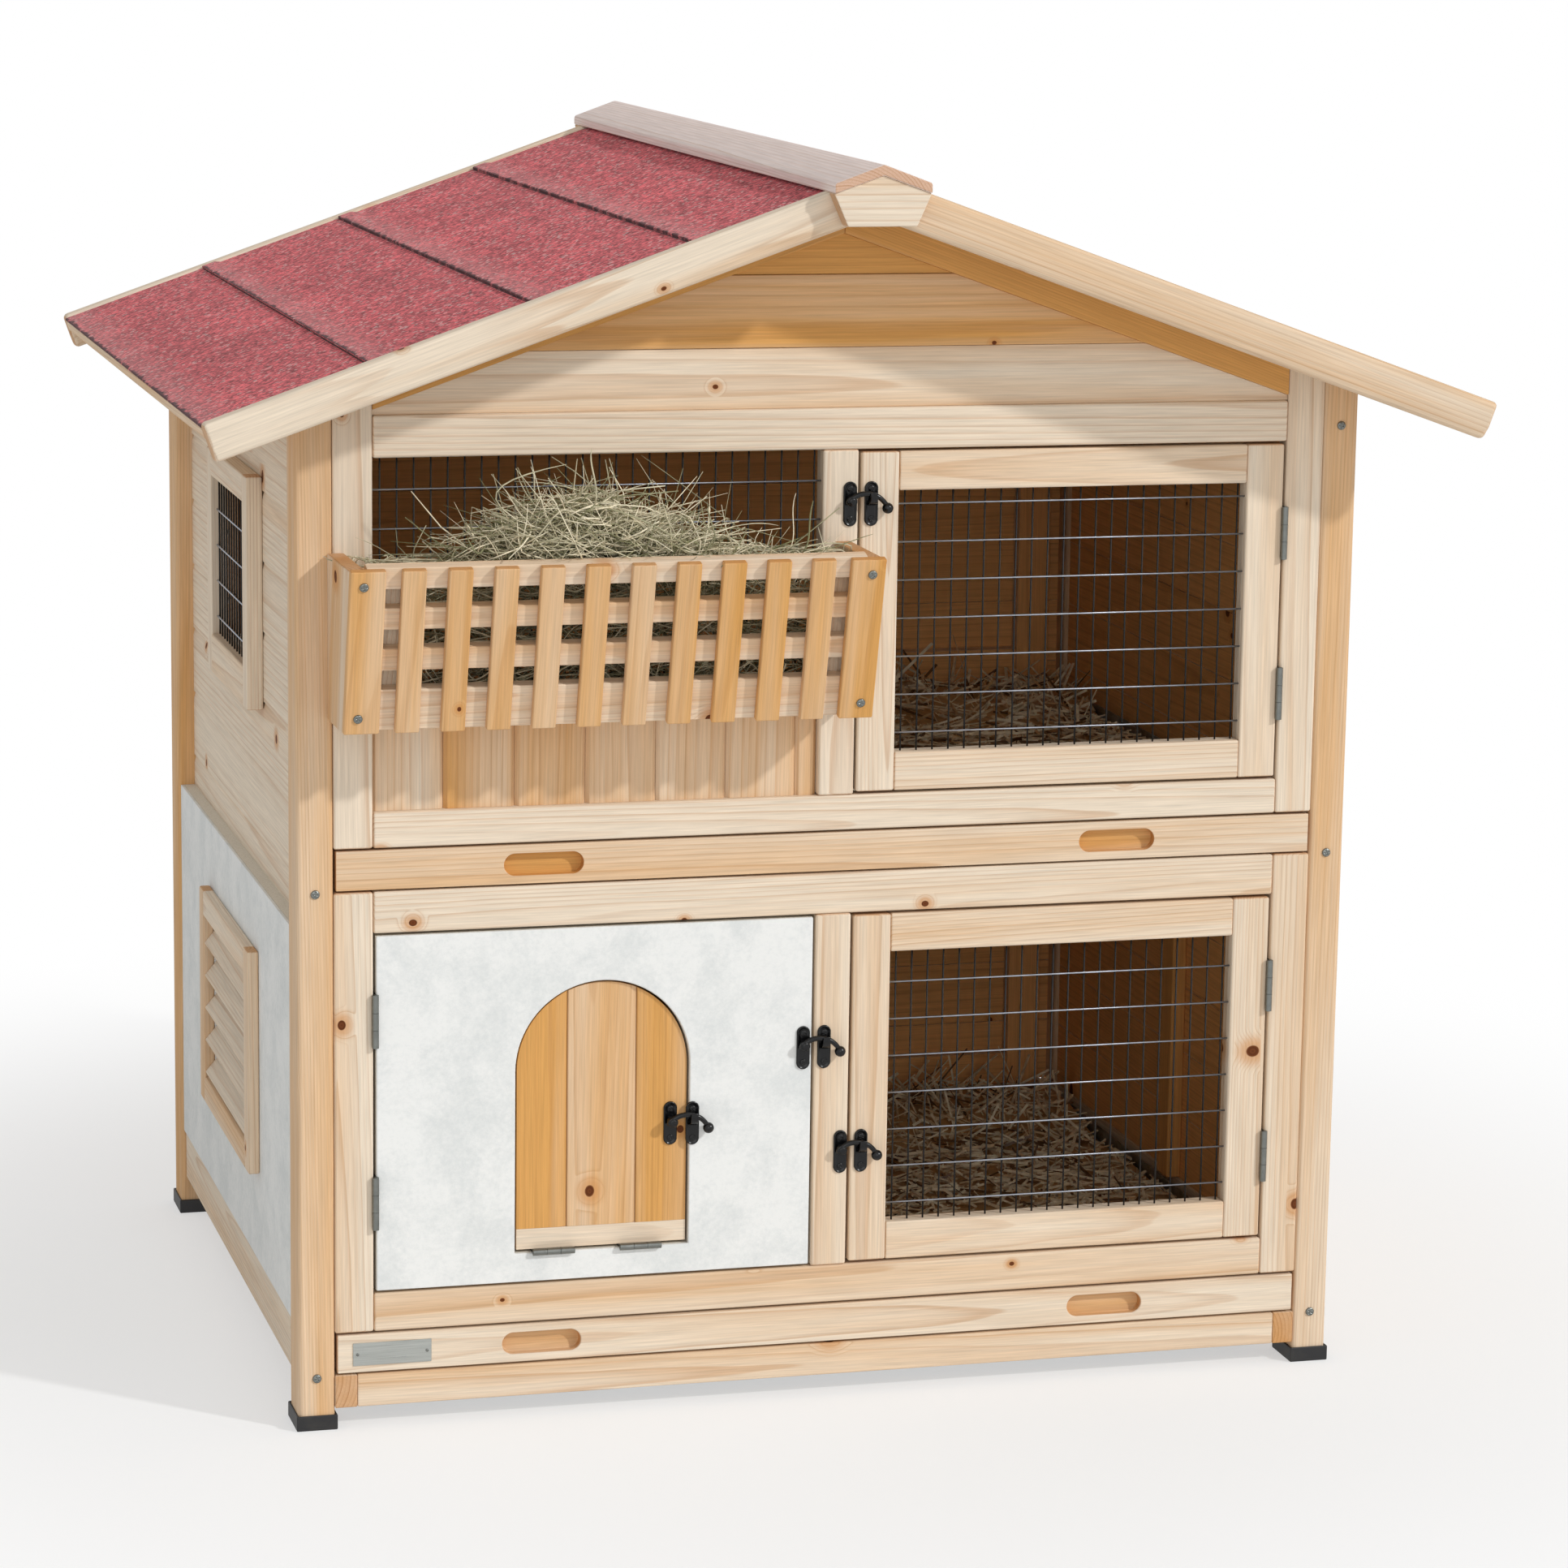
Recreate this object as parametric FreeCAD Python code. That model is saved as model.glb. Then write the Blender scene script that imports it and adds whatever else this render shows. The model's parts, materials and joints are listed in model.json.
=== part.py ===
import FreeCAD, Part
import math
import os

# Two-storey timber rabbit hutch with an apex roof, in millimetres.
# +X is to the right seen from the front, +Y is to the back and +Z is up.
# The origin is on the ground, under the centre of the hutch.

V = FreeCAD.Vector

# ---------------------------------------------------------------- driving dimensions
BAY = 455.0             # half the clear width between the corner posts
POST_W = 33.0           # corner post, across the front
POST_D = 45.0           # corner post, front to back
FRONT = -385.0          # front plane of posts, frames and doors
BACK = 385.0            # back plane of the posts
CAP_H = 14.0            # height of the plastic foot caps
CAP_BASE = 3.0          # plastic under the end of a post
CAP_WALL = 2.0

FRAME_T = 22.0          # thickness of the front frames
STILE_W = 35.0          # outer stiles of the front frames
MID_HALF = 16.5         # half the width of a middle stile
DOOR_T = 20.0           # thickness of the two wire doors
DOOR_MEMBER = 35.0      # width of a wire door's stiles and rails
GAP = 2.5               # gap all round a door

BASE_Z = (19.0, 49.0)           # front base rail
TRAY_LOW_Z = (51.0, 86.0)       # front of the lower tray
LOW_FRAME_Z = (88.0, 489.0)     # lower front frame
LOW_OPEN_Z = (123.0, 451.5)     # openings in the lower frame
TRAY_UP_Z = (491.0, 526.0)      # front of the upper tray
UP_FRAME_Z = 528.0              # underside of the upper front frame
UP_OPEN_Z = (560.0, 871.5)      # openings in the upper frame
GABLE_RAIL_TOP = 908.5
SIDE_RAIL_Z = (38.0, 88.0)      # side and back base rails

BOARD_T = 12.0          # tongue and groove boards
BOARD_PITCH = 65.4
BOARD_GAP = 0.3
BEVEL = (7.0, 1.8, 0.8)         # width and depth of a board's upper bevel, and its lower chamfer
TONGUE = 3.0            # height of a tongue
TONGUE_T = 4.0
GROOVE_DEEPER = 0.4     # a groove is this much deeper than a tongue is high
WALL_X = 471.0          # outer face of the side wall boards

ROOF_HALF = 581.7       # half the width of the roof, at the top of a bargeboard's end
ROOF_PITCH = 19.5       # degrees
ROOF_APEX = 1120.5      # where the two top edges of the bargeboards meet
BARGE_D = 35.0          # depth of a bargeboard, square to the slope
BARGE_T = 19.0
BARGE_BEVEL = (12.0, 5.0)       # height and depth of the bevel along its lower edge
GABLE_DROP = 55.0       # the gable boards end this far under the bargeboards' top, at the sloping battens
GABLE_BATTEN_T = 16.0
GABLE_PITCH = 64.0
GABLE_ROW = 898.0       # height of a joint between gable boards, if the rail didn't cover it
ROOF_Y = 485.0          # front and back faces of the bargeboards
PANEL_DROP = 5.0        # the roof panel's top lies this far under the bargeboards' top
PANEL_T = 10.0
FELT_T = 2.4
FELT_COURSES = 4
FELT_LAP = 14.0
CAP_HALF = 43.5         # half the width of the ridge cap
CAP_T = 9.0
BLOCK_T = 18.0          # end blocks under the ridge cap
BLOCK_FOOT = (31.0, 1077.0)     # half width and height of a block's lower edge

WIRE = 1.8              # square section that stands for a 2 mm wire
WIRE_X = 15.0           # spacing of the upright wires
WIRE_Z = 34.5           # spacing of the level wires
MESH_IN = 7.0           # depth of the wire mesh behind the front plane

TRAY_T = 20.0
TRAY_TRAVEL_CLEAR = 2.0
PAN_T = 0.8
PULL_X = 267.0          # finger pulls, from the middle of a tray
PULL_LEN = 72.0
PULL_H = 20.0
PULL_DEEP = 9.0

RACK_X = (-460.0, 10.0)
RACK_Z = (644.0, 790.0)
RACK_OUT = (78.0, 116.0)        # how far the rack stands out, at its foot and at its top
RACK_CHEEK = 15.0
SLAT_T = 8.0
RACK_RAIL_T = 12.0
RACK_BATTEN_W = 35.0
RACK_BATTEN_T = 15.0

ARCH_X = -212.0         # centre of the arched hole in the insulated door
ARCH_HALF = 80.0
ARCH_Z = (152.0, 320.0)         # sill and springing of the arch
FLAP_BACK = 4.0         # the flap's face lies this far behind the door's face
FLAP_PLAY = 2.0         # gap round the flap
FLAP_CLEAT = 19.0       # height of the cleat along the flap's foot
FLAP_PITCH = 63.3       # width of the flap's three boards, before the arch cuts them
SKIN_T = 4.0            # cement board skins of the insulated door
CORE_T = 14.0

HINGE_L = 48.0
FLAP_HINGE_L = 38.0
HINGE_R = 3.0
LEAF_T = 1.0
LEAF_DEEP = 19.0
PIN_R = 1.4
RUNNING = 0.05          # radial clearance of a pin in a moving knuckle

SLOPE = math.tan(math.radians(ROOF_PITCH))
COSINE = math.cos(math.radians(ROOF_PITCH))
SINE = math.sin(math.radians(ROOF_PITCH))


# ---------------------------------------------------------------- helpers
def box(x0, x1, y0, y1, z0, z1):
    return Part.makeBox(x1 - x0, y1 - y0, z1 - z0, V(x0, y0, z0))


def prism(points, along):
    """A solid made by moving a flat polygon along a vector."""
    corners = [V(*point) for point in points]
    return Part.Face(Part.makePolygon(corners + corners[:1])).extrude(V(*along))


def prism_xz(points, y0, y1):
    return prism([(x, y0, z) for x, z in points], (0, y1 - y0, 0))


def cylinder_y(radius, x, z, y0, y1):
    return Part.makeCylinder(radius, y1 - y0, V(x, y0, z), V(0, 1, 0))


def stadium(length, width, x, z, y0, y1, upright):
    """A plate with round ends, facing the front."""
    half = (length - width) / 2
    radius = width / 2
    if upright:
        bar = box(x - radius, x + radius, y0, y1, z - half, z + half)
        ends = [(x, z - half), (x, z + half)]
    else:
        bar = box(x - half, x + half, y0, y1, z - radius, z + radius)
        ends = [(x - half, z), (x + half, z)]
    for end_x, end_z in ends:
        bar = bar.fuse(cylinder_y(radius, end_x, end_z, y0, y1))
    return bar.removeSplitter()


def both_sides(solid):
    """A solid and its mirror image on the other side of the hutch."""
    return [solid, solid.mirror(V(0, 0, 0), V(1, 0, 0))]


def write(name, solids):
    shape = solids[0] if len(solids) == 1 else Part.makeCompound(solids)
    for solid in shape.Solids:
        if not solid.isValid() or solid.Volume <= 0:
            raise ValueError("bad solid in " + name)
    shape.exportStep("parts/%s.step" % name)
    print(name, len(shape.Solids), round(sum(s.Volume for s in shape.Solids) / 1000.0, 1))


def roof_line(x, drop):
    """Height of the roof at x, a given depth square to the slope below the bargeboards' top."""
    return ROOF_APEX - abs(x) * SLOPE - drop / COSINE


def under_roof(solid, drop=PANEL_DROP + PANEL_T, foot=0.0):
    """The part of a solid that lies above a height and below the roof, by default below the roof panels."""
    top = [(0, roof_line(0, drop)), (ROOF_HALF, roof_line(ROOF_HALF, drop)), (ROOF_HALF, foot),
           (-ROOF_HALF, foot), (-ROOF_HALF, roof_line(ROOF_HALF, drop))]
    return solid.common(prism_xz(top, -ROOF_Y, ROOF_Y)).Solids


def board_section(width, tongue=True, groove=True, bevel=BEVEL):
    """Outline of a tongue and groove board as (depth from the show face, height)."""
    low = BOARD_T / 2 - TONGUE_T / 2
    high = BOARD_T / 2 + TONGUE_T / 2
    wide, deep, under = bevel
    outline = [(0, under), (0, width - wide), (deep, width)]
    if tongue:
        outline += [(low, width), (low, width + TONGUE), (high, width + TONGUE), (high, width)]
    outline += [(BOARD_T, width), (BOARD_T, 0)]
    if groove:
        near, far = low - BOARD_GAP, high + BOARD_GAP
        top = TONGUE + GROOVE_DEEPER
        outline += [(far, 0), (far, top), (near, top), (near, 0)]
    return outline + [(under, 0)]


def boards(place, along, start, stop, pitch=BOARD_PITCH, bevel=BEVEL):
    """A row of boards from start to stop. place turns (depth, height) into a point."""
    made = []
    edge = start
    while stop - edge > 4.0:
        width = min(pitch, stop - edge)
        last = stop - edge <= pitch
        outline = board_section(width - BOARD_GAP, not last, edge > start, bevel)
        made.append(prism([place(depth, edge + height) for depth, height in outline], along))
        edge += pitch
    return made


def wire_grille(u0, u1, z0, z1, place):
    """Welded mesh as one solid. place(u, depth, z) gives a point; level wires lie in front."""
    lap = 0.4
    wires = []
    count = int((u1 - u0) / WIRE_X)
    first = (u0 + u1) / 2 - (count - 1) * WIRE_X / 2
    for n in range(count):
        u = first + n * WIRE_X
        wires.append((u - WIRE / 2, u + WIRE / 2, 0, WIRE, z0, z1))
    count = int((z1 - z0) / WIRE_Z)
    first = (z0 + z1) / 2 - (count - 1) * WIRE_Z / 2
    for n in range(count):
        z = first + n * WIRE_Z
        wires.append((u0, u1, lap - WIRE, lap, z - WIRE / 2, z + WIRE / 2))
    solids = []
    for low_u, high_u, near, far, low_z, high_z in wires:
        a = place(low_u, near, low_z)
        b = place(high_u, far, high_z)
        lows = [min(p, q) for p, q in zip(a, b)]
        highs = [max(p, q) for p, q in zip(a, b)]
        solids.append(box(lows[0], highs[0], lows[1], highs[1], lows[2], highs[2]))
    return [solids[0].multiFuse(solids[1:]).removeSplitter()]


# ---------------------------------------------------------------- carcass
def posts():
    drop = PANEL_DROP + PANEL_T
    outer = BAY + POST_W
    outline = [(BAY, CAP_BASE), (outer, CAP_BASE),
               (outer, roof_line(outer, drop)), (BAY, roof_line(BAY, drop))]
    made = []
    for y0, y1 in ((FRONT, FRONT + POST_D), (BACK - POST_D, BACK)):
        made += both_sides(prism_xz(outline, y0, y1))
    write("corner_posts", made)
    caps = []
    for y0, y1 in ((FRONT, FRONT + POST_D), (BACK - POST_D, BACK)):
        cap = box(BAY - CAP_WALL, outer + CAP_WALL, y0 - CAP_WALL, y1 + CAP_WALL, 0, CAP_H)
        caps += both_sides(cap.cut(box(BAY, outer, y0, y1, CAP_BASE, CAP_H)))
    write("foot_caps", caps)


RUNNER = 20.0           # side of the square tray bearers
INNER_Y = FRONT + POST_D        # front face of the side walls, behind the front posts


def rails_and_bearers():
    low, high = SIDE_RAIL_Z
    rails = both_sides(box(WALL_X - BOARD_T, WALL_X + BOARD_T, INNER_Y, -INNER_Y, low, high))
    rails.append(box(-BAY + RUNNER, BAY - RUNNER, FRONT, FRONT + RUNNER, *BASE_Z))
    rails.append(box(-BAY, BAY, BACK - 2 * RUNNER, BACK - RUNNER, low, high))
    write("base_rails", rails)
    bearers = both_sides(box(BAY - RUNNER, BAY, FRONT, -INNER_Y, *BASE_Z))
    top = LOW_FRAME_Z[1]
    bearers += both_sides(box(BAY - RUNNER, BAY, FRONT + FRAME_T, -INNER_Y, top - RUNNER, top))
    write("tray_bearers", bearers)


def front_frames():
    y0, y1 = FRONT, FRONT + FRAME_T
    inner = BAY - STILE_W
    low, high = LOW_FRAME_Z
    frame = both_sides(box(inner, BAY, y0, y1, low, high))
    frame.append(box(-MID_HALF, MID_HALF, y0, y1, *LOW_OPEN_Z))
    frame.append(box(-inner, inner, y0, y1, low, LOW_OPEN_Z[0]))
    frame.append(box(-inner, inner, y0, y1, LOW_OPEN_Z[1], high))
    write("lower_front_frame", frame)

    drop = PANEL_DROP + PANEL_T
    outline = [(inner, UP_FRAME_Z), (BAY, UP_FRAME_Z),
               (BAY, roof_line(BAY, drop)), (inner, roof_line(inner, drop))]
    frame = both_sides(prism_xz(outline, y0, y1))
    frame.append(box(-MID_HALF, MID_HALF, y0, y1, *UP_OPEN_Z))
    frame.append(box(-inner, inner, y0, y1, UP_FRAME_Z, UP_OPEN_Z[0]))
    frame.append(box(-inner, inner, y0, y1, UP_OPEN_Z[1], GABLE_RAIL_TOP))
    write("upper_front_frame", frame)


APRON_TOP = 636.0       # top of the boards under the upper mesh window
APRON_PITCH = 64.0
APRON_BEVEL = (3.2, 3.2, 3.2)   # these boards have a wider groove than the walls
CLEAT = 18.0


def front_cladding():
    inner = BAY - STILE_W
    face = FRONT + 7.0
    low = UP_OPEN_Z[0]
    height = (0, 0, APRON_TOP - low)
    apron = boards(lambda depth, x: (x, face + depth, low), height, -inner, -MID_HALF,
                   APRON_PITCH, APRON_BEVEL)
    apron.append(box(-inner, -MID_HALF, FRONT, face + BOARD_T, APRON_TOP, APRON_TOP + CLEAT))
    write("apron_boards", apron)

    z0, z1 = APRON_TOP + CLEAT, UP_OPEN_Z[1]
    write("front_window_mesh", wire_grille(-inner, -MID_HALF, z0, z1,
                                           lambda u, d, z: (u, FRONT + MESH_IN + d, z)))

    face = FRONT + 4.0
    rows = boards(lambda depth, z: (-inner, face + depth, z), (2 * inner, 0, 0),
                  GABLE_ROW, ROOF_APEX, GABLE_PITCH)
    write("gable_boards", [piece for row in rows for piece in under_roof(row, GABLE_DROP, GABLE_RAIL_TOP)])


WINDOW_Y = (-82.0, 110.0)       # clear opening of the side window
WINDOW_Z = (642.0, 795.0)
WINDOW_RIM = (23.0, 38.0, 26.0)         # width of its frame: uprights, bottom, top
WINDOW_OUT = 487.0
VENT_Y = (-130.0, 120.0)        # clear opening of the louvred vent
VENT_Z = (200.0, 362.0)
VENT_RIM = 25.0
VENT_OUT = 496.0
VENT_SLATS = 5
VENT_SLAT = (33.0, 6.0, 50.0)   # depth, thickness and tilt of a slat
LINING = 485.0          # outer face of the cement board on the left wall
LINING_SKIN = 3.0
LINING_TOP = 450.0


def side_walls():
    top = roof_line(WALL_X, PANEL_DROP + PANEL_T)
    depth = (0, -2 * INNER_Y, 0)
    left = boards(lambda t, z: (t - WALL_X, INNER_Y, z), depth, SIDE_RAIL_Z[1], top)
    holes = [box(-WALL_X - 1, -WALL_X + BOARD_T + 1, *WINDOW_Y, *WINDOW_Z),
             box(-WALL_X - 1, -WALL_X + BOARD_T + 1, *VENT_Y, *VENT_Z)]
    pieces = []
    for row in left:
        for hole in holes:
            row = row.cut(hole)
        pieces += row.Solids
    write("left_wall_boards", pieces)
    right = boards(lambda t, z: (WALL_X - t, INNER_Y, z), depth, SIDE_RAIL_Z[1], top)
    write("right_wall_boards", right)
    inner = WALL_X - BOARD_T
    batten = box(inner - 15, inner, -56, -26, SIDE_RAIL_Z[1] + 2, LOW_FRAME_Z[1] - RUNNER)
    write("wall_batten", [batten])


def left_wall_fittings():
    hole = box(-LINING - 1, -WALL_X + 1, *VENT_Y, *VENT_Z)
    low = SIDE_RAIL_Z[1]
    skin = box(-LINING, LINING_SKIN - LINING, INNER_Y, -INNER_Y, low, LINING_TOP).cut(hole)
    core = box(LINING_SKIN - LINING, -WALL_X, INNER_Y, -INNER_Y, low, LINING_TOP).cut(hole)
    write("side_panel_skin", [skin])
    write("side_panel_core", [core])

    side, bottom, top = WINDOW_RIM
    x0, x1 = -WINDOW_OUT, -WALL_X
    y0, y1 = WINDOW_Y
    z0, z1 = WINDOW_Z
    frame = [box(x0, x1, y0 - side, y0, z0 - bottom, z1 + top),
             box(x0, x1, y1, y1 + side, z0 - bottom, z1 + top),
             box(x0, x1, y0, y1, z0 - bottom, z0),
             box(x0, x1, y0, y1, z1, z1 + top)]
    write("side_window_frame", frame)
    mesh_x = -WINDOW_OUT + MESH_IN
    write("side_window_mesh", wire_grille(y0, y1, z0, z1, lambda u, d, z: (mesh_x + d, u, z)))

    x0, x1 = -VENT_OUT, -LINING
    y0, y1 = VENT_Y
    z0, z1 = VENT_Z
    rim = VENT_RIM
    frame = [box(x0, x1, y0 - rim, y0, z0 - rim, z1 + rim),
             box(x0, x1, y1, y1 + rim, z0 - rim, z1 + rim),
             box(x0, x1, y0, y1, z0 - rim, z0),
             box(x0, x1, y0, y1, z1, z1 + rim)]
    write("vent_frame", frame)
    pitch = (z1 - z0) / VENT_SLATS
    deep, thick, tilt = VENT_SLAT
    slats = []
    for n in range(VENT_SLATS):
        slat = box(0, deep, y0 + 0.2, y1 - 0.2, 0, thick)
        slat.rotate(V(0, 0, 0), V(0, 1, 0), -tilt)
        slat.translate(V(-VENT_OUT + 5.5, 0, z0 + n * pitch + 1.5))
        slats.append(slat)
    write("vent_slats", slats)


BACK_STILE_X = 404.0    # inner edge of the back frame's stiles
BACK_FRAME_T = 20.0
BACK_FRAME_TOP = 930.0
BACK_TOP_RAIL_Z = 895.0


def back_wall():
    face = BACK - 7.0
    rows = boards(lambda t, z: (-BAY, face - t, z), (2 * BAY, 0, 0), SIDE_RAIL_Z[1], ROOF_APEX)
    write("back_wall_boards", [piece for row in rows for piece in under_roof(row)])
    y1 = face - BOARD_T
    y0 = y1 - BACK_FRAME_T
    low = SIDE_RAIL_Z[1]
    frame = both_sides(box(BACK_STILE_X, BACK_STILE_X + STILE_W, y0, y1, low, BACK_FRAME_TOP))
    for z0 in (low, UP_FRAME_Z, BACK_TOP_RAIL_Z):
        frame.append(box(-BACK_STILE_X, BACK_STILE_X, y0, y1, z0, z0 + STILE_W))
    write("back_frame", frame)


DIVIDER_HALF = 6.0      # half the thickness of the divider
DOORWAY_Y = (60.0, 220.0)
DOORWAY_Z = (118.0, 280.0)      # sill and springing of its arch


def divider():
    """Board between the nest and the run on the lower floor, with a doorway."""
    panel = box(-DIVIDER_HALF, DIVIDER_HALF, FRONT + FRAME_T + 0.5, BACK - 40.0,
                SIDE_RAIL_Z[1] + 2, LOW_FRAME_Z[1] - 1)
    y0, y1 = DOORWAY_Y
    past = DIVIDER_HALF + 1
    arch_top = Part.makeCylinder((y1 - y0) / 2, 2 * past, V(-past, (y0 + y1) / 2, DOORWAY_Z[1]), V(1, 0, 0))
    doorway = box(-past, past, y0, y1, *DOORWAY_Z).fuse(arch_top)
    write("divider_panel", [panel.cut(doorway)])


# ---------------------------------------------------------------- roof
def slope_slab(s0, s1, n0, n1, y0, y1):
    """A slab on the right slope: s runs down the slope from the apex, n is square to it."""
    def point(s, n):
        return (s * COSINE + n * SINE, ROOF_APEX - s * SINE + n * COSINE)
    return prism_xz([point(s0, n0), point(s1, n0), point(s1, n1), point(s0, n1)], y0, y1)


def right_half(solid):
    return solid.common(box(0, 2 * ROOF_HALF, -2 * ROOF_Y, 2 * ROOF_Y, 0, 2 * ROOF_APEX))


def roof():
    run = ROOF_HALF / COSINE
    inner_y = ROOF_Y - BARGE_T
    panel = right_half(slope_slab(-20, run, -PANEL_DROP - PANEL_T, -PANEL_DROP, -inner_y, inner_y))
    write("roof_panels", both_sides(panel))

    course = (run - 20.0) / FELT_COURSES
    felt = []
    for n in range(FELT_COURSES):
        s1 = run - n * course
        s0 = s1 - course - (FELT_LAP if n < FELT_COURSES - 1 else 0)
        low = -PANEL_DROP + 0.02
        lift = 0 if n == 0 else FELT_T
        tip = min(FELT_LAP + 6, course)
        outline = [(s0, low), (s1 - tip, low), (s1 - FELT_LAP, low + lift), (s1, low + lift),
                   (s1, low + lift + FELT_T), (s1 - FELT_LAP, low + lift + FELT_T),
                   (s1 - tip, low + FELT_T), (s0, low + FELT_T)]
        points = [(s * COSINE + h * SINE, ROOF_APEX - s * SINE + h * COSINE) for s, h in outline]
        felt.append(prism_xz(points, -inner_y, inner_y))
    for n in range(FELT_COURSES - 1):
        felt[n] = felt[n].cut(felt[n + 1])
    write("roof_felt", [side for strip in felt for side in both_sides(strip)])

    high, deep = BARGE_BEVEL
    for name, front, back, facing in (("front_bargeboards", -ROOF_Y, -inner_y, 1),
                                      ("back_bargeboards", ROOF_Y, inner_y, -1)):
        section = [(back, 0), (front, 0), (front, high - BARGE_D), (front + facing * deep, -BARGE_D),
                   (back, -BARGE_D)]
        points = [(-20 * COSINE + n * SINE, y, ROOF_APEX + 20 * SINE + n * COSINE) for y, n in section]
        barge = prism(points, ((run + 20) * COSINE, 0, -(run + 20) * SINE))
        write(name, both_sides(right_half(barge)))

    length = ROOF_Y + BLOCK_T + 2
    low = CAP_HALF * SLOPE
    rise = CAP_T / COSINE
    outline = [(0, ROOF_APEX), (CAP_HALF, ROOF_APEX - low), (CAP_HALF, ROOF_APEX - low + rise - 1.5),
               (CAP_HALF - 1.5, ROOF_APEX - low + rise), (0, ROOF_APEX + rise),
               (1.5 - CAP_HALF, ROOF_APEX - low + rise), (-CAP_HALF, ROOF_APEX - low + rise - 1.5),
               (-CAP_HALF, ROOF_APEX - low)]
    write("ridge_cap", [prism_xz(outline, -length, length)])

    foot, foot_z = BLOCK_FOOT
    outline = [(0, ROOF_APEX), (CAP_HALF, ROOF_APEX - low), (foot, foot_z), (-foot, foot_z),
               (-CAP_HALF, ROOF_APEX - low)]
    write("ridge_blocks", [prism_xz(outline, -ROOF_Y - BLOCK_T, -ROOF_Y),
                           prism_xz(outline, ROOF_Y, ROOF_Y + BLOCK_T)])

    drop = PANEL_DROP + PANEL_T
    outline = [(430, 925), (BAY, 925), (BAY, roof_line(BAY, drop)), (430, roof_line(430, drop))]
    battens = both_sides(prism_xz(outline, INNER_Y, BACK - 40.0))
    # two more run down the slopes over the gable boards, from the middle to the stiles of the frame
    rake = slope_slab(-20, run, -GABLE_DROP, -drop, FRONT, FRONT + GABLE_BATTEN_T)
    rake = rake.common(box(0, BAY - STILE_W, FRONT, 0, 0, 2 * ROOF_APEX))
    write("roof_battens", battens + both_sides(rake))


# ---------------------------------------------------------------- hay rack
RACK_TILT = math.degrees(math.atan2(RACK_OUT[1] - RACK_OUT[0], RACK_Z[1] - RACK_Z[0]))
RACK_SLANT = math.hypot(RACK_OUT[1] - RACK_OUT[0], RACK_Z[1] - RACK_Z[0])
RACK_BANDS = ((0.0, 38.0), (55.5, 76.0), (93.5, 113.5), (131.0, RACK_SLANT))
RACK_SLATS = 10
SLAT_W = 21.0
END_SLAT_W = 31.0


def lean(solid):
    """Turns a solid built upright at y = 0, z = 0 into the leaning front of the rack."""
    solid.rotate(V(0, 0, 0), V(1, 0, 0), RACK_TILT)
    solid.translate(V(0, FRONT - RACK_OUT[0], RACK_Z[0]))
    return solid


def rack_front_y(z, inset):
    """y of the leaning plane that lies inset behind the slats' faces, at height z."""
    tilt = math.radians(RACK_TILT)
    return FRONT - RACK_OUT[0] - (z - RACK_Z[0]) * math.tan(tilt) + inset / math.cos(tilt)


def hay_rack():
    left, right = RACK_X
    low, high = RACK_Z
    face = FRONT - 0.05
    outline = [(face, low), (face, high),
               (rack_front_y(high, SLAT_T), high), (rack_front_y(low, SLAT_T), low)]
    cheeks = []
    for x in (left, right - RACK_CHEEK):
        cheeks.append(prism([(x, y, z) for y, z in outline], (RACK_CHEEK, 0, 0)))
    write("rack_cheeks", cheeks)

    x0, x1 = left + RACK_CHEEK, right - RACK_CHEEK
    behind = SLAT_T + RACK_RAIL_T
    rails = [lean(box(x0, x1, SLAT_T, behind, z0, z1)) for z0, z1 in RACK_BANDS]
    back = rack_front_y(low + 8.0, behind) + 3.0
    rails.append(box(x0, x1, back, face, low, low + 8.0))
    for x in (x0, x1 - RACK_BATTEN_W):
        rails.append(lean(box(x, x + RACK_BATTEN_W, behind, behind + RACK_BATTEN_T, 12, RACK_SLANT - 10)))
    write("rack_rails", rails)

    slats = [lean(box(x, x + END_SLAT_W, 0, SLAT_T, 0, RACK_SLANT)) for x in (left, right - END_SLAT_W)]
    pitch = (right - left - END_SLAT_W) / (RACK_SLATS + 1)
    for n in range(1, RACK_SLATS + 1):
        x = left + (END_SLAT_W - SLAT_W) / 2 + n * pitch
        slats.append(lean(box(x, x + SLAT_W, 0, SLAT_T, 0, RACK_SLANT)))
    write("rack_slats", slats)


SCREW_R = 4.0
SCREW_HEAD = 2.2
SCREW_SHANK_R = 1.9
SCREW_L = 26.0


def screw(x, z):
    head = cylinder_y(SCREW_R, x, z, FRONT - SCREW_HEAD, FRONT)
    return head.fuse(cylinder_y(SCREW_SHANK_R, x, z, FRONT - 0.5, FRONT + SCREW_L))


def screws():
    centre = BAY + POST_W / 2
    made = [screw(side * centre, z) for side in (-1, 1) for z in (48.0, 489.0)]
    made.append(screw(centre, 885.0))
    for x in (RACK_X[0] + 12.0, RACK_X[1] - 12.0):
        for z in (15.0, RACK_SLANT - 14.0):
            one = screw(0, 0)
            one.translate(V(x, -FRONT, z))
            made.append(lean(one))
    write("carcass_screws", made)


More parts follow.
